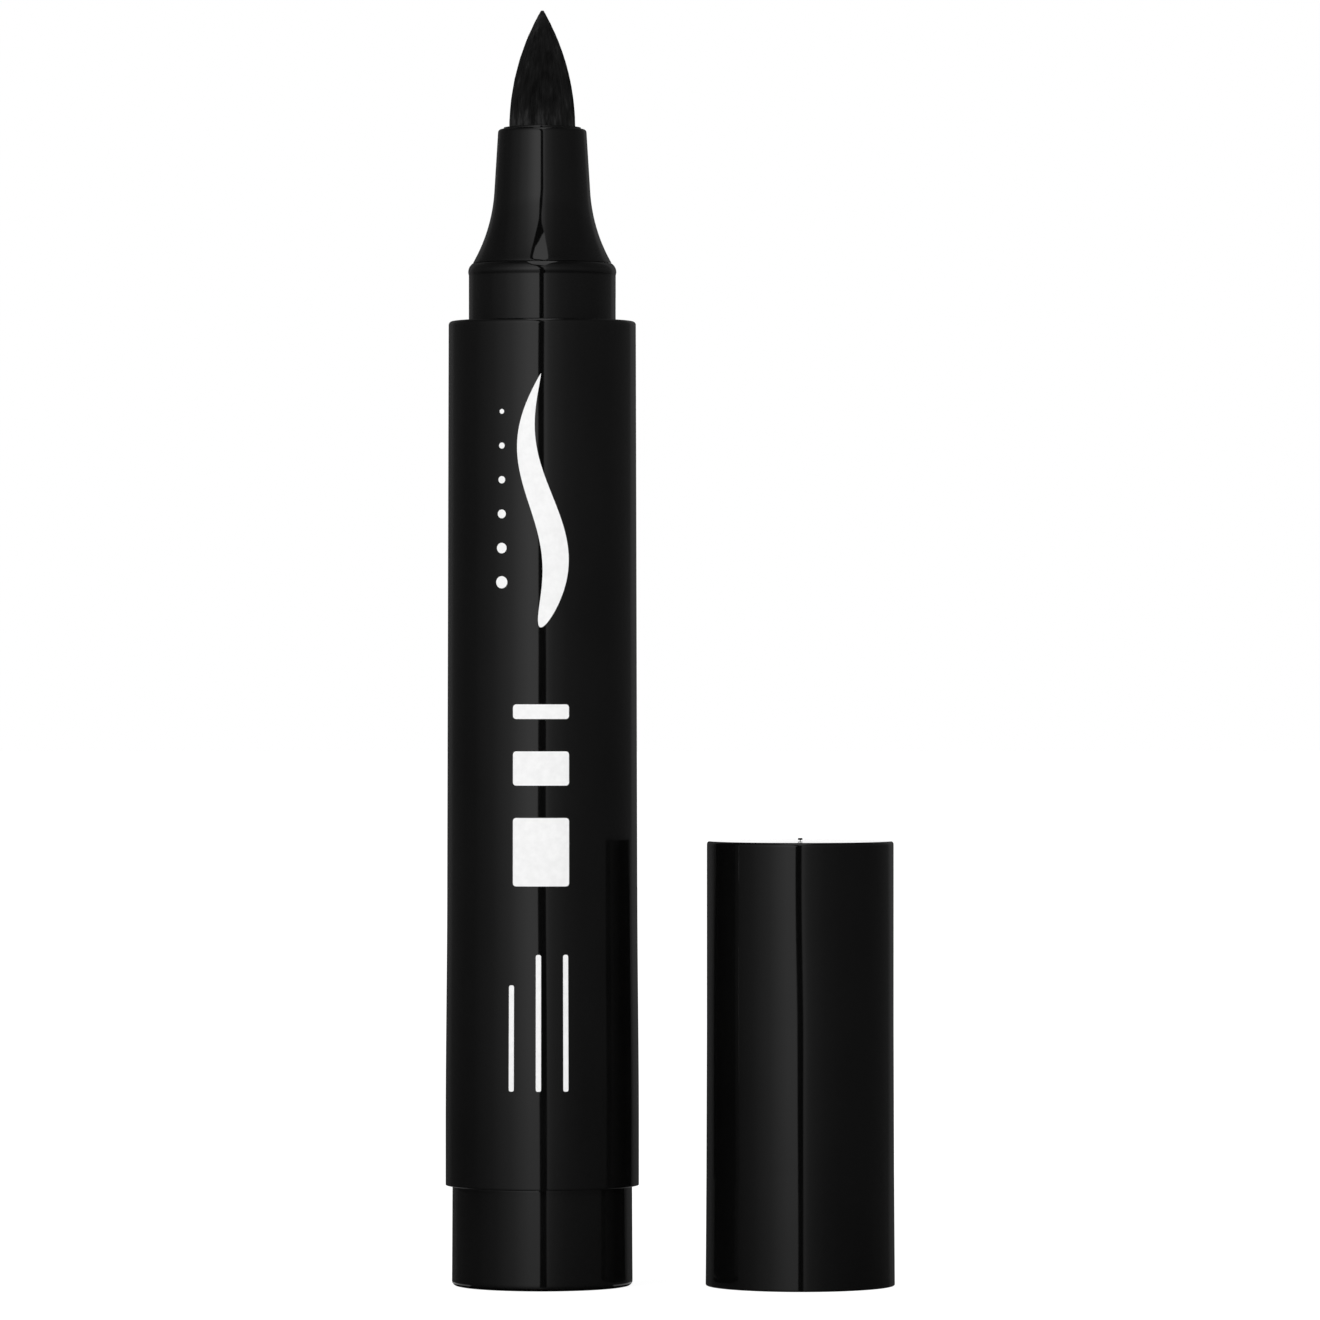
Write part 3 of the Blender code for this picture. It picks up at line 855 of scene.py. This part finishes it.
# %% Lay the bristles on the core
def lay_bristle(form, straight, index):
    """Adds one bristle that follows the outline of the bundle from the nozzle upwards."""
    turn = index * golden_turn
    turn += clump_sway * math.sin(turn * clumps) + scatter.gauss(0, turn_scatter)
    share = scatter.random()
    end_level = brush_top - (brush_top - taper_level) * end_spread * share ** 2 - end_gap
    depth = bristle_root + abs(scatter.gauss(0, depth_scatter))
    drift = scatter.gauss(0, drift_scatter)
    form.from_mesh(straight)
    form.verts.ensure_lookup_table()
    for vert in form.verts[-len(straight.vertices):]:
        along = vert.co.z
        level = root_level + (end_level - root_level) * along
        angle = turn + drift * along * along
        out = Vector((math.cos(angle), math.sin(angle), 0))
        side = Vector((-out.y, out.x, 0))
        radius = max(bristle_end, brush_radius(level) - depth * (1 - along / 2))
        vert.co = out * (radius + vert.co.x) + side * vert.co.y + Vector((0, 0, level))


form = bmesh.new()
for index in range(bristle_count):
    lay_bristle(form, straight, index)
bpy.data.meshes.remove(straight)
bristles = add_piece("brush_bristles", form)
highest = max(vert.co.z for vert in bristles.data.vertices)
print(f"{bristle_count} bristles, the highest ends at {highest / mm:.2f} mm")

# %% [markdown]
# Inked bristles
#
# The bristles are PBT, extruded and dyed black, and wet with ink. Single strands have a dull sheen, and the
# gaps between them are darker than their crowns, so the bundle looks like dense black velvet with a few grey
# strands, most of them near the nozzle and at the tip. That grey is painted sheen, a lighter colour given to
# the strands where light would catch them. A real bristle is under a tenth of a millimetre thick, too fine
# for the render, so strands are drawn a fifth of a millimetre wide and clumps half a millimetre.
#
# That sheen could be a texture, but two ramps along the pen paint it with a handful of nodes: the larger of
# them says how much of the strands' noise is added to that of the clumps.

# %% Draw the clumps and strands of the inked bristles
clump_size = 0.5 * mm
clump_stretch = (1, 1, 0.3)
clump_depth = 0.03 * mm
strand_size = 0.2 * mm
strand_stretch = (1, 1, 0.25)

bristle_fibre, tree, shader = new_material("pbt_bristle_fibre_inked", IOR=1.45, Specular_IOR_Level=0.12)
source = add_node(tree, "TexCoord").outputs["Object"]
place = add_node(tree, "Mapping", {"Scale": clump_stretch}, {"Vector": source})
clump = add_node(tree, "TexNoise", {"Scale": 1 / clump_size, "Detail": 3.0, "Roughness": 0.6},
                 {"Vector": place})
place = add_node(tree, "Mapping", {"Scale": strand_stretch}, {"Vector": source})
strand = add_node(tree, "TexNoise", {"Scale": 1 / strand_size}, {"Vector": place})
print(f"clumps {clump_size / mm:.1f} mm wide, strands {strand_size / mm:.1f} mm")

# %% Add the painted sheen near the nozzle and at the tip, and dress the brush
# The grey that these ramps add near the nozzle and at the tip is painted sheen on the strands.
least_sheen, root_sheen, tip_sheen = 0.15, 0.6, 0.4
root_ramp = (nozzle_top + 2 * mm, nozzle_top)
tip_ramp = (brush_top - 2.5 * mm, brush_top - 0.5 * mm)
bristle_tones_and_sheen = [(0.4, linear("#0C0C0C")), (0.7, linear("#181818")), (1.0, linear("#323232"))]

level = add_node(tree, "SeparateXYZ", None, {"Vector": source}).outputs["Z"]
root_sheen_share, tip_sheen_share = (
    add_node(tree, "MapRange", {"From Min": start, "From Max": end, "To Min": least_sheen, "To Max": grey},
             {"Value": level})
    for (start, end), grey in ((root_ramp, root_sheen), (tip_ramp, tip_sheen))
)
share = add_node(tree, "Math", None, {0: root_sheen_share, 1: tip_sheen_share}, operation="MAXIMUM")
# Painted sheen: the strands' noise, scaled by the ramps, lightens the bristles' colour.
grey = add_node(tree, "Math", None, {0: strand, 1: share}, operation="MULTIPLY")
mottle_and_sheen = add_node(tree, "Math", None, {0: clump, 1: grey}, operation="ADD")
tone = add_node(tree, "ValToRGB", None, {"Fac": mottle_and_sheen}, bristle_tones_and_sheen)
dull = add_node(tree, "MapRange", {**middle, "To Min": 0.6, "To Max": 0.8}, {"Value": clump})
relief = add_node(tree, "Bump", {"Distance": clump_depth}, {"Height": clump})
link(tree, shader, {"Base Color": tone, "Roughness": dull, "Normal": relief})
dress(brush_core, bristle_fibre, "pen", "brush_fibre", "brush_tip")
dress(bristles, bristle_fibre, "pen", "brush_fibre")

# %% [markdown]
# The pieces that stay as the CAD model has them
#
# The brush retainer, the wick, the reservoir and its film are closed in. They could be made finer too, but
# their CAD solids have the right shape, so they keep it and only get a finish.
#
# The retainer has the natural polypropylene. The wick and the reservoir are bonded polyester fibre, soaked
# dark, with no sheen. Real fibres are two or three hundredths of a millimetre thick, too fine for the
# render, so they are drawn a few times thicker. The film is thin oriented polypropylene: clear, with a
# slight haze and soft wrinkles along the rod.

# %% Finish the hidden pieces
fibre_stretch = (1, 1, 0.06)
wick_strand = 0.06 * mm
reservoir_strand = 0.1 * mm
wrinkle_size = 1.5 * mm
wrinkle_stretch = (1, 1, 0.2)
wrinkle_depth = 0.01 * mm


def bonded_fibre(name, strand, tones):
    """Parallel fibres along the pen. Their relief is a quarter as deep as a strand is wide."""
    return grained(name, strand, tones, (0.75, 0.95), strand / 4, fibre_stretch, 3.0, 0.6,
                   IOR=1.45, Specular_IOR_Level=0.15)


wick_fibre = bonded_fibre("bonded_polyester_wick_inked", wick_strand, ("#26262A", "#38383C"))
rod_fibre = bonded_fibre("bonded_polyester_reservoir_inked", reservoir_strand, ("#1C1C20", "#2E2E33"))
film = grained("clear_opp_film", wrinkle_size, ("#D8DCDF", "#E8EBED"), (0.1, 0.2), wrinkle_depth,
               wrinkle_stretch, IOR=1.49, Alpha=0.35)
finishes = {
    "brush_retainer": polypropylene,
    "feed_wick": wick_fibre,
    "reservoir_core": rod_fibre,
    "reservoir_film": film,
}
for node, finish in finishes.items():
    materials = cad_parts[node].data.materials
    materials.clear()
    materials.append(finish)
    print(node, "has", finish.name)

# %% [markdown]
# The print
#
# Round pens are decorated by pad printing: a soft pad picks up ink from a plate and rolls it on to the
# barrel. This print is a plain graphic: a long swaying stroke like one that the brush draws, a row of dots
# that grow beside it, three bars that go from thin to bold, and three fine lines.
#
# The barrel's material could draw the marks, but a mark with a shape of its own keeps a clean edge from any
# distance. Each is a flat shape first, made upright in the XZ plane.

# %% Helpers that draw rectangles and bars
upright = Matrix.Rotation(math.pi / 2, 4, "X")
mark_corner_segments = 3


def add_rectangle(form, width, height, place):
    """Adds a flat face of a given size, laid by a matrix, and returns its corners."""
    size = Matrix.Diagonal((width, height, 1, 1))
    return bmesh.ops.create_grid(form, x_segments=1, y_segments=1, size=0.5, matrix=place @ size)["verts"]


def add_bar(form, x, low, high, width, rounding):
    """Adds an upright bar with rounded corners."""
    place = Matrix.Translation((x, 0, (low + high) / 2)) @ upright
    bmesh.ops.bevel(form, geom=add_rectangle(form, width, high - low, place), offset=rounding,
                    offset_type="OFFSET", segments=mark_corner_segments, profile=0.5, affect="VERTICES",
                    material=-1)


print(f"a flat shape is turned upright by {math.degrees(upright.to_euler().x):.0f} degrees")

# %% Draw the stroke
stroke_middle = 64.8 * mm
stroke_length = 20.8 * mm
stroke_width = 2.3 * mm
stroke_sway = 1.2 * mm
stroke_taper = 0.35
stroke_fullness = 1.2


def add_stroke(form):
    """Adds a tapered stroke: round and broad at its foot, swaying once and ending in a point."""
    ring = bmesh.ops.create_circle(form, cap_ends=True, segments=128, radius=1)
    for vert in ring["verts"]:
        along = (vert.co.y + 1) / 2
        width = stroke_width / 2 * vert.co.x * (1 - along) ** stroke_taper * stroke_fullness
        bend = stroke_sway * math.sin(full_turn * along)
        vert.co = (width + bend, 0, stroke_middle + stroke_length * (along - 0.5))


form = bmesh.new()
add_stroke(form)
print(f"the stroke has {len(form.verts)} corners and is {stroke_length / mm:.1f} mm long")

# %% Draw the dots, bars and lines
dot_place = -3.3 * mm
dot_top = 72.1 * mm
dot_step = 2.8 * mm
dot_radii = (0.2 * mm, 0.25 * mm, 0.3 * mm, 0.36 * mm, 0.43 * mm, 0.5 * mm)
bar_levels = (47.5 * mm, 42.85 * mm, 36.0 * mm)
bar_heights = (1.2 * mm, 2.8 * mm, 5.6 * mm)
bar_width = 4.6 * mm
bar_rounding = 0.25 * mm
line_places = (-2.4 * mm, -0.2 * mm, 2.0 * mm)
line_tops = (25.1 * mm, 27.6 * mm, 27.6 * mm)
line_low = 16.4 * mm
line_width = 0.42 * mm
line_rounding = 0.15 * mm

for level, height in zip(bar_levels, bar_heights):
    add_bar(form, 0, level - height / 2, level + height / 2, bar_width, bar_rounding)
for x, top in zip(line_places, line_tops):
    add_bar(form, x, line_low, top, line_width, line_rounding)
for index, radius in enumerate(dot_radii):
    place = Matrix.Translation((dot_place, 0, dot_top - index * dot_step)) @ upright
    bmesh.ops.create_circle(form, cap_ends=True, segments=32, radius=radius, matrix=place)
print(f"{len(form.faces)} flat marks")

# %% [markdown]
# A Shrinkwrap modifier could lay the marks on the barrel, but it needs points to move, and a flat face has
# corners only at its rim. So the marks are first cut into small cells. Then they are extruded, and each
# point is bent round the barrel by its distance from the middle line. The far side sinks in, and the near
# side stands off by a layer of ink, so that the print follows the curve and its edge catches light.

# %% Cut the marks into cells and wrap them
ink_height = 0.006 * mm
cell_width = 0.3 * mm
cell_height = 1.0 * mm
print_reach = 3.9 * mm
print_low, print_top = 16 * mm, 75 * mm

columns = round(print_reach / cell_width)
cuts = [((index * cell_width, 0, 0), (1, 0, 0)) for index in range(-columns, columns + 1)]
rows = range(round(print_low / cell_height), round(print_top / cell_height) + 1)
cuts += [((0, 0, index * cell_height), (0, 0, 1)) for index in rows]
for point, across in cuts:
    bmesh.ops.bisect_plane(form, geom=form.verts[:] + form.edges[:] + form.faces[:], plane_co=point,
                           plane_no=across, dist=merge_distance)
inked = bmesh.ops.extrude_face_region(form, geom=form.faces[:])
raised = {item for item in inked["geom"] if isinstance(item, bmesh.types.BMVert)}
for vert in form.verts:
    radius = barrel_radius(vert.co.z) + (ink_height if vert in raised else -ink_height)
    angle = vert.co.x / barrel_front
    vert.co = (radius * math.sin(angle), -radius * math.cos(angle), vert.co.z)
bmesh.ops.recalc_face_normals(form, faces=form.faces)
marks = add_piece("barrel_print", form)
print(f"{len(cuts)} cuts leave {len(marks.data.polygons)} faces")

# %% [markdown]
# The ink is an opaque white pad-printing ink. It dries to a soft satin and is never as bright as paper. One
# flat white would look like a sticker. Patches of about half a millimetre, where the pad pressed harder or
# less, make it look laid on wet.

# %% Make the white ink and dress the print
ink_patch = 0.5 * mm
ink_relief = 0.001 * mm
ink = grained("white_pad_printing_ink", ink_patch, ("#E3E3E3", "#EAEAEA"), (0.4, 0.5), ink_relief, detail=3.0,
              IOR=1.5)
dress(marks, ink, "pen", "barrel_plastic")

# %% [markdown]
# The camera
#
# The photograph was taken with a long lens from straight in front, level, about seven tenths of a metre
# away. The horizon is at half height, and the pen's axis is left of the middle. A shifted lens would frame it
# too, but a camera that simply stands further right needs no shift.

# %% Set the camera
image_side = 1320
pixel = 0.08277 * mm
camera_distance = 687 * mm
pen_column = 542.3
base_row = 1285
camera_data = bpy.data.cameras.new("camera")
camera_data.sensor_width = 36
camera_data.lens = camera_data.sensor_width * camera_distance / (image_side * pixel)
camera_data.clip_start = 50 * mm
camera_side = (image_side / 2 - pen_column) * pixel
camera_level = (base_row - image_side / 2) * pixel
camera = bpy.data.objects.new("camera", camera_data)
camera.location = (camera_side, -camera_distance, camera_level)
camera.rotation_euler = (math.pi / 2, 0, 0)
bpy.context.scene.collection.objects.link(camera)
bpy.context.scene.camera = camera
print(f"lens {camera_data.lens:.1f} mm, camera at {[round(value / mm, 1) for value in camera.location]} mm")

# %% [markdown]
# The studio
#
# Gloss black plastic has almost no colour of its own: what the eye sees is the room in it. The reflections
# in the photograph tell of a tent of white diffusers round the table. It is brightest beside the lens and a
# little above it, and fades to the sides and back. A narrow dark gap in it, where the lens looks in, is added
# as a card later on.
#
# The tent could be many lamps, but lamps leave hard edges in a mirror. It is one upright can that runs on
# below the table, where it stands for the table's dimmer top. Its glow is the product of two ramps, one round
# the tent and one up its height. It is seen only in reflections, so the world and the lamps still light the
# object.

# %% Helpers for what glows and shows only in reflections
def glow_material(name, strength=1.0):
    """A material that only emits. Returns it, its tree and its emission node."""
    material = bpy.data.materials.new(name)
    material.use_nodes = True
    tree = material.node_tree
    tree.nodes.clear()
    emission = add_node(tree, "Emission", {"Strength": strength})
    add_node(tree, "OutputMaterial", None, {"Surface": emission})
    return material, tree, emission


def reflected_only(name, form, material):
    """Makes a studio card that is seen only in reflections."""
    card = add_piece(name, form)
    card.data.materials.append(material)
    card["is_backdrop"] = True
    card.visible_camera = False
    card.visible_diffuse = False
    card.visible_transmission = False
    card.visible_shadow = False
    return card


def grey_stops(table, start, end):
    """Ramp stops from a table of (place, linear brightness), with places from start to end."""
    return [((place - start) / (end - start), (glow, glow, glow, 1)) for place, glow in table]


print("the middle stop of a ramp from 0 to 10:", grey_stops([(5, 0.5)], 0, 10)[0])

# %% How bright the tent is round it, by degrees, and up it, by millimetres
tent_glow = 1.3
round_tent = [(-180, 0.03), (-168, 0.05), (-157, 0.08), (-146, 0.10), (-136, 0.065), (-106, 0.065),
              (-89, 0.09), (-61, 0.225), (-37, 0.49), (-26, 0.72), (-15, 0.92), (0.3, 0.98), (1.0, 0.62),
              (5.5, 0.58), (8, 0.42), (11, 0.34), (15, 0.28), (30, 0.17), (49, 0.12), (89, 0.085),
              (136, 0.084), (143, 0.14), (152, 0.12), (168, 0.06), (180, 0.03)]
up_tent = [(-400, 0.15), (-250, 0.27), (-110, 0.33), (-50, 0.41), (-25, 0.5), (10, 0.64), (52, 0.71),
           (136, 0.82), (185, 0.89), (265, 0.89), (350, 0.73), (560, 0.65), (870, 0.58), (1150, 0.48),
           (1300, 0.3)]
tent_low, tent_high = up_tent[0][0], up_tent[-1][0]
print(f"the tent reaches from {tent_low} to {tent_high} mm")

# %% Build the tent of diffusers
tent_material, tree, emission = glow_material("diffuser_tent")
source = add_node(tree, "TexCoord").outputs["Object"]
facing = add_node(tree, "Mapping", {"Rotation": (0, 0, math.pi / 2)}, {"Vector": source})
around = add_node(tree, "TexGradient", None, {"Vector": facing}, gradient_type="RADIAL").outputs["Fac"]
height = add_node(tree, "SeparateXYZ", None, {"Vector": source}).outputs["Z"]
rise = add_node(tree, "MapRange", {"From Min": tent_low * mm, "From Max": tent_high * mm}, {"Value": height})
side_glow = add_node(tree, "ValToRGB", None, {"Fac": around}, grey_stops(round_tent, -180, 180))
rise_glow = add_node(tree, "ValToRGB", None, {"Fac": rise}, grey_stops(up_tent, tent_low, tent_high))
product = add_node(tree, "Math", None, {0: side_glow, 1: rise_glow}, operation="MULTIPLY")
scaled = add_node(tree, "Math", {1: tent_glow}, {0: product}, operation="MULTIPLY")
link(tree, emission, {"Strength": scaled})

tent_radius = 690 * mm
outline = ((0, tent_low), (tent_radius, tent_low), (tent_radius, tent_high), (0, tent_high))
can = spun([(radius, level * mm, 0) for radius, level in outline])
tent = reflected_only("diffuser_tent", can, tent_material)
print(f"the tent has {len(tent.data.polygons)} faces")

# %% [markdown]
# The panel overhead
#
# Where the nozzle flares, it looks up, past the two front diffusers. They leave a gap between them there, in
# which an overhead panel shows. It meets the right diffuser directly, and beside the left one a dark slit is
# left, which runs on into the gap for the lens. A lamp would do for a plain spot, but here the shape of the
# panel is what the nozzle mirrors, so panel and slit are cards, each one face.
#
# Both lie in one slanting plane. Their corners are given in millimetres across and up that plane.

# %% Hang the overhead panel between the diffusers
plane_foot = Vector((0, -410 * mm, 445 * mm))
plane_rise = (Vector((0, 0, 800 * mm)) - plane_foot).normalized()
panel_glow, dark = 1.0, 0.0
shared_edge = [(5, 10), (-95, 105), (-120, 200)]
panel_outline = [(40, -5), (70, 100), (80, 200), (170, 640), (-160, 640), *reversed(shared_edge)]
slit_outline = [(40, -5), *shared_edge, (-135, 300), (-165, 300), (-150, 195), (-140, 115), (-110, 15),
                (-75, -65), (-62, -100), (-57, -140), (-5, -140), (-4, -100), (0, -65)]


def hang_card(name, points, glow):
    """Hangs a flat card with the given corners that glows evenly."""
    form = bmesh.new()
    form.faces.new([form.verts.new(point) for point in points])
    reflected_only(name, form, glow_material(name, glow)[0])
    print(f"{name}: {len(points)} corners")


for name, outline, glow in (("overhead_panel", panel_outline, panel_glow), ("slit", slit_outline, dark)):
    hang_card(name, [plane_foot + Vector((x * mm, 0, 0)) + plane_rise * up * mm for x, up in outline], glow)

# %% [markdown]
# The gap for the lens
#
# The gap for the lens shows as a dark line down the middle of every piece. It is widest at the height of the
# lens and narrow above it. The tent's ramps can't draw it, because their gap would be one width at every
# height. From the cap it looks narrower than from the pen, because the right diffuser's edge stands nearer,
# so a black card stands at each of the two distances.
#
# These cards stand upright, and their corners are (across, level) in millimetres.

# %% Hang the cards round the lens
far, near = -655 * mm, -292 * mm
gap_left = [(-72, 430), (-64, 315), (-20, 165), (-43, 101), (-44, 52), (-46, 9), (-33, -21), (-29, -35),
            (-34, -330)]
gap_right = [(26, -330), (26, 60), (37, 75), (39, 101), (49, 165), (17, 315), (-6, 430)]
near_outline = [(10, -140), (33, -140), (33, -22), (30, -14), (29, 21), (28, 52), (16, 75), (10, 75)]
for name, y, outline in (("lens_gap", far, gap_left + gap_right), ("lens_gap_near_edge", near, near_outline)):
    hang_card(name, [(x * mm, y, level * mm) for x, level in outline], dark)

# %% [markdown]
# The paper, the table and the shade
#
# Three small things are left. The cap's flat top is seen at a grazing angle and mirrors the white paper far
# behind it, so a narrow white card hangs there. A wide card lies low behind: it stands for the table's far
# half, which shows when the model is looked at from behind. And where the pen and the cap touch the table,
# their lowest edges mirror their own shade, for which a black disc lies just under each. The floor could
# show in reflections instead, but it is made for the camera, and cards can be set one by one.

# %% Add the cards behind and the shade below
paper_middle = (32.5 * mm, 650 * mm, 62.5 * mm)
paper_size = (65 * mm, 95 * mm)
paper_glow = 1.15
table_middle = (0, 355 * mm, -90 * mm)
table_size = (560 * mm, 570 * mm)
table_glow = 0.5
shade_margin = 0.15 * mm
shade_level = -0.05 * mm
shade_steps = 64

for name, middle_point, size, stand, glow in (
    ("white_paper_behind", paper_middle, paper_size, upright, paper_glow),
    ("white_table_behind", table_middle, table_size, Matrix(), table_glow),
):
    form = bmesh.new()
    add_rectangle(form, *size, Matrix.Translation(middle_point) @ stand)
    reflected_only(name, form, glow_material(name, glow)[0])
for name, x, radius in (("shade_under_pen", 0, knob), ("shade_under_cap", cap_x, cap_mouth)):
    form = bmesh.new()
    bmesh.ops.create_circle(form, cap_ends=True, segments=shade_steps, radius=radius + shade_margin,
                            matrix=Matrix.Translation((x, 0, shade_level)))
    reflected_only(name, form, glow_material(name, dark)[0])
    print(f"{name}: radius {(radius + shade_margin) / mm:.2f} mm")

# %% [markdown]
# Light, floor and background
#
# The world is a soft even light, and one large lamp on each side gives it a direction. At this level a
# white surface renders just below white. The background is pure white only to rays from the camera and to
# reflections, which see the white paper behind the pen. A brighter world would give that background too, but
# it would wash out the black.

# %% Make the world
world_light = 0.72
background_white = 1.0
world = bpy.data.worlds.new("soft_studio")
bpy.context.scene.world = world
world.use_nodes = True
tree = world.node_tree
tree.nodes.clear()
rays = add_node(tree, "LightPath")
seen = add_node(tree, "Math", None, {0: rays.outputs["Is Camera Ray"], 1: rays.outputs["Is Glossy Ray"]},
                operation="ADD")
seen = add_node(tree, "Math", None, {0: seen, 1: rays.outputs["Is Transmission Ray"]}, operation="ADD")
soft = add_node(tree, "Background", {"Color": linear("#FFFFFF"), "Strength": world_light})
white = add_node(tree, "Background", {"Color": linear("#FFFFFF"), "Strength": background_white})
either = add_node(tree, "MixShader", None, {"Fac": seen, 1: soft, 2: white})
add_node(tree, "OutputWorld", None, {"Surface": either})
print(f"the world lights at {world_light} and shows at {background_white}")

# %% Set the lamps, which face the middle of the object
lamp_size = 0.8
lamps = {"lamp_left": ((-0.7, -0.8, 0.7), 7.0), "lamp_right": ((0.9, -0.7, 0.6), 4.0)}
for name, (place, power) in lamps.items():
    lamp_data = bpy.data.lights.new(name, "AREA")
    lamp_data.size = lamp_size
    lamp_data.energy = power
    lamp = bpy.data.objects.new(name, lamp_data)
    lamp.location = place
    aim = (cad_box[0] + cad_box[1]) / 2 - Vector(place)
    lamp.rotation_euler = aim.to_track_quat("-Z", "Y").to_euler()
    lamp.visible_glossy = False
    bpy.context.scene.collection.objects.link(lamp)
    print(f"{name}: {power} W, {aim.length:.2f} m away")

# %% [markdown]
# The floor is uncoated white paper: matt, with a grain of a couple of millimetres that is hardly seen. To the
# camera it glows up to the white of the background, and a dim diffuse part on top keeps a soft shadow where
# the pen and the cap stand. An infinite plane isn't needed, because its rim blends into the same white.

# %% Make the paper
grain_size = 2 * mm
floor_glow = 0.9
paper, tree, shader = new_material("white_paper_floor", Roughness=0.9)
source = add_node(tree, "TexCoord").outputs["Object"]
grain = add_node(tree, "TexNoise", {"Scale": 1 / grain_size}, {"Vector": source})
tone = add_node(tree, "ValToRGB", None, {"Fac": grain}, two_tones("#E8E8E8", "#ECECEC"))
link(tree, shader, {"Base Color": tone})
rays = add_node(tree, "LightPath")
glow = add_node(tree, "Emission", {"Strength": floor_glow})
dim = add_node(tree, "BsdfDiffuse", {"Color": linear("#898989")})
lit = add_node(tree, "AddShader", None, {0: glow, 1: dim})
either = add_node(tree, "MixShader", None, {"Fac": rays.outputs["Is Camera Ray"], 1: shader, 2: lit})
link(tree, tree.nodes["Material Output"], {"Surface": either})
print(f"the paper glows at {floor_glow} to the camera")

# %% Lay the floor
floor_size = 8.0
floor_level = -0.02 * mm
form = bmesh.new()
add_rectangle(form, floor_size, floor_size, Matrix.Translation((0, 0, floor_level)))
floor = add_piece("floor", form)
floor.data.materials.append(paper)
floor.visible_glossy = False
floor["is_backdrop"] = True
print(f"floor of {floor_size} m a side")

# %% [markdown]
# Finish
#
# The dressed model's box is written beside the CAD model's, which shows at once whether a piece stands
# proud. The view transform is Standard, so a colour renders as it is written.

# %% Compare the boxes and finish
bpy.context.scene.view_settings.view_transform = "Standard"
dressed_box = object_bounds()
boxes = {"cad": [list(corner) for corner in cad_box], "dressed": [list(corner) for corner in dressed_box]}
for name, corners in boxes.items():
    print(name, [[round(value / mm, 3) for value in corner] for corner in corners])
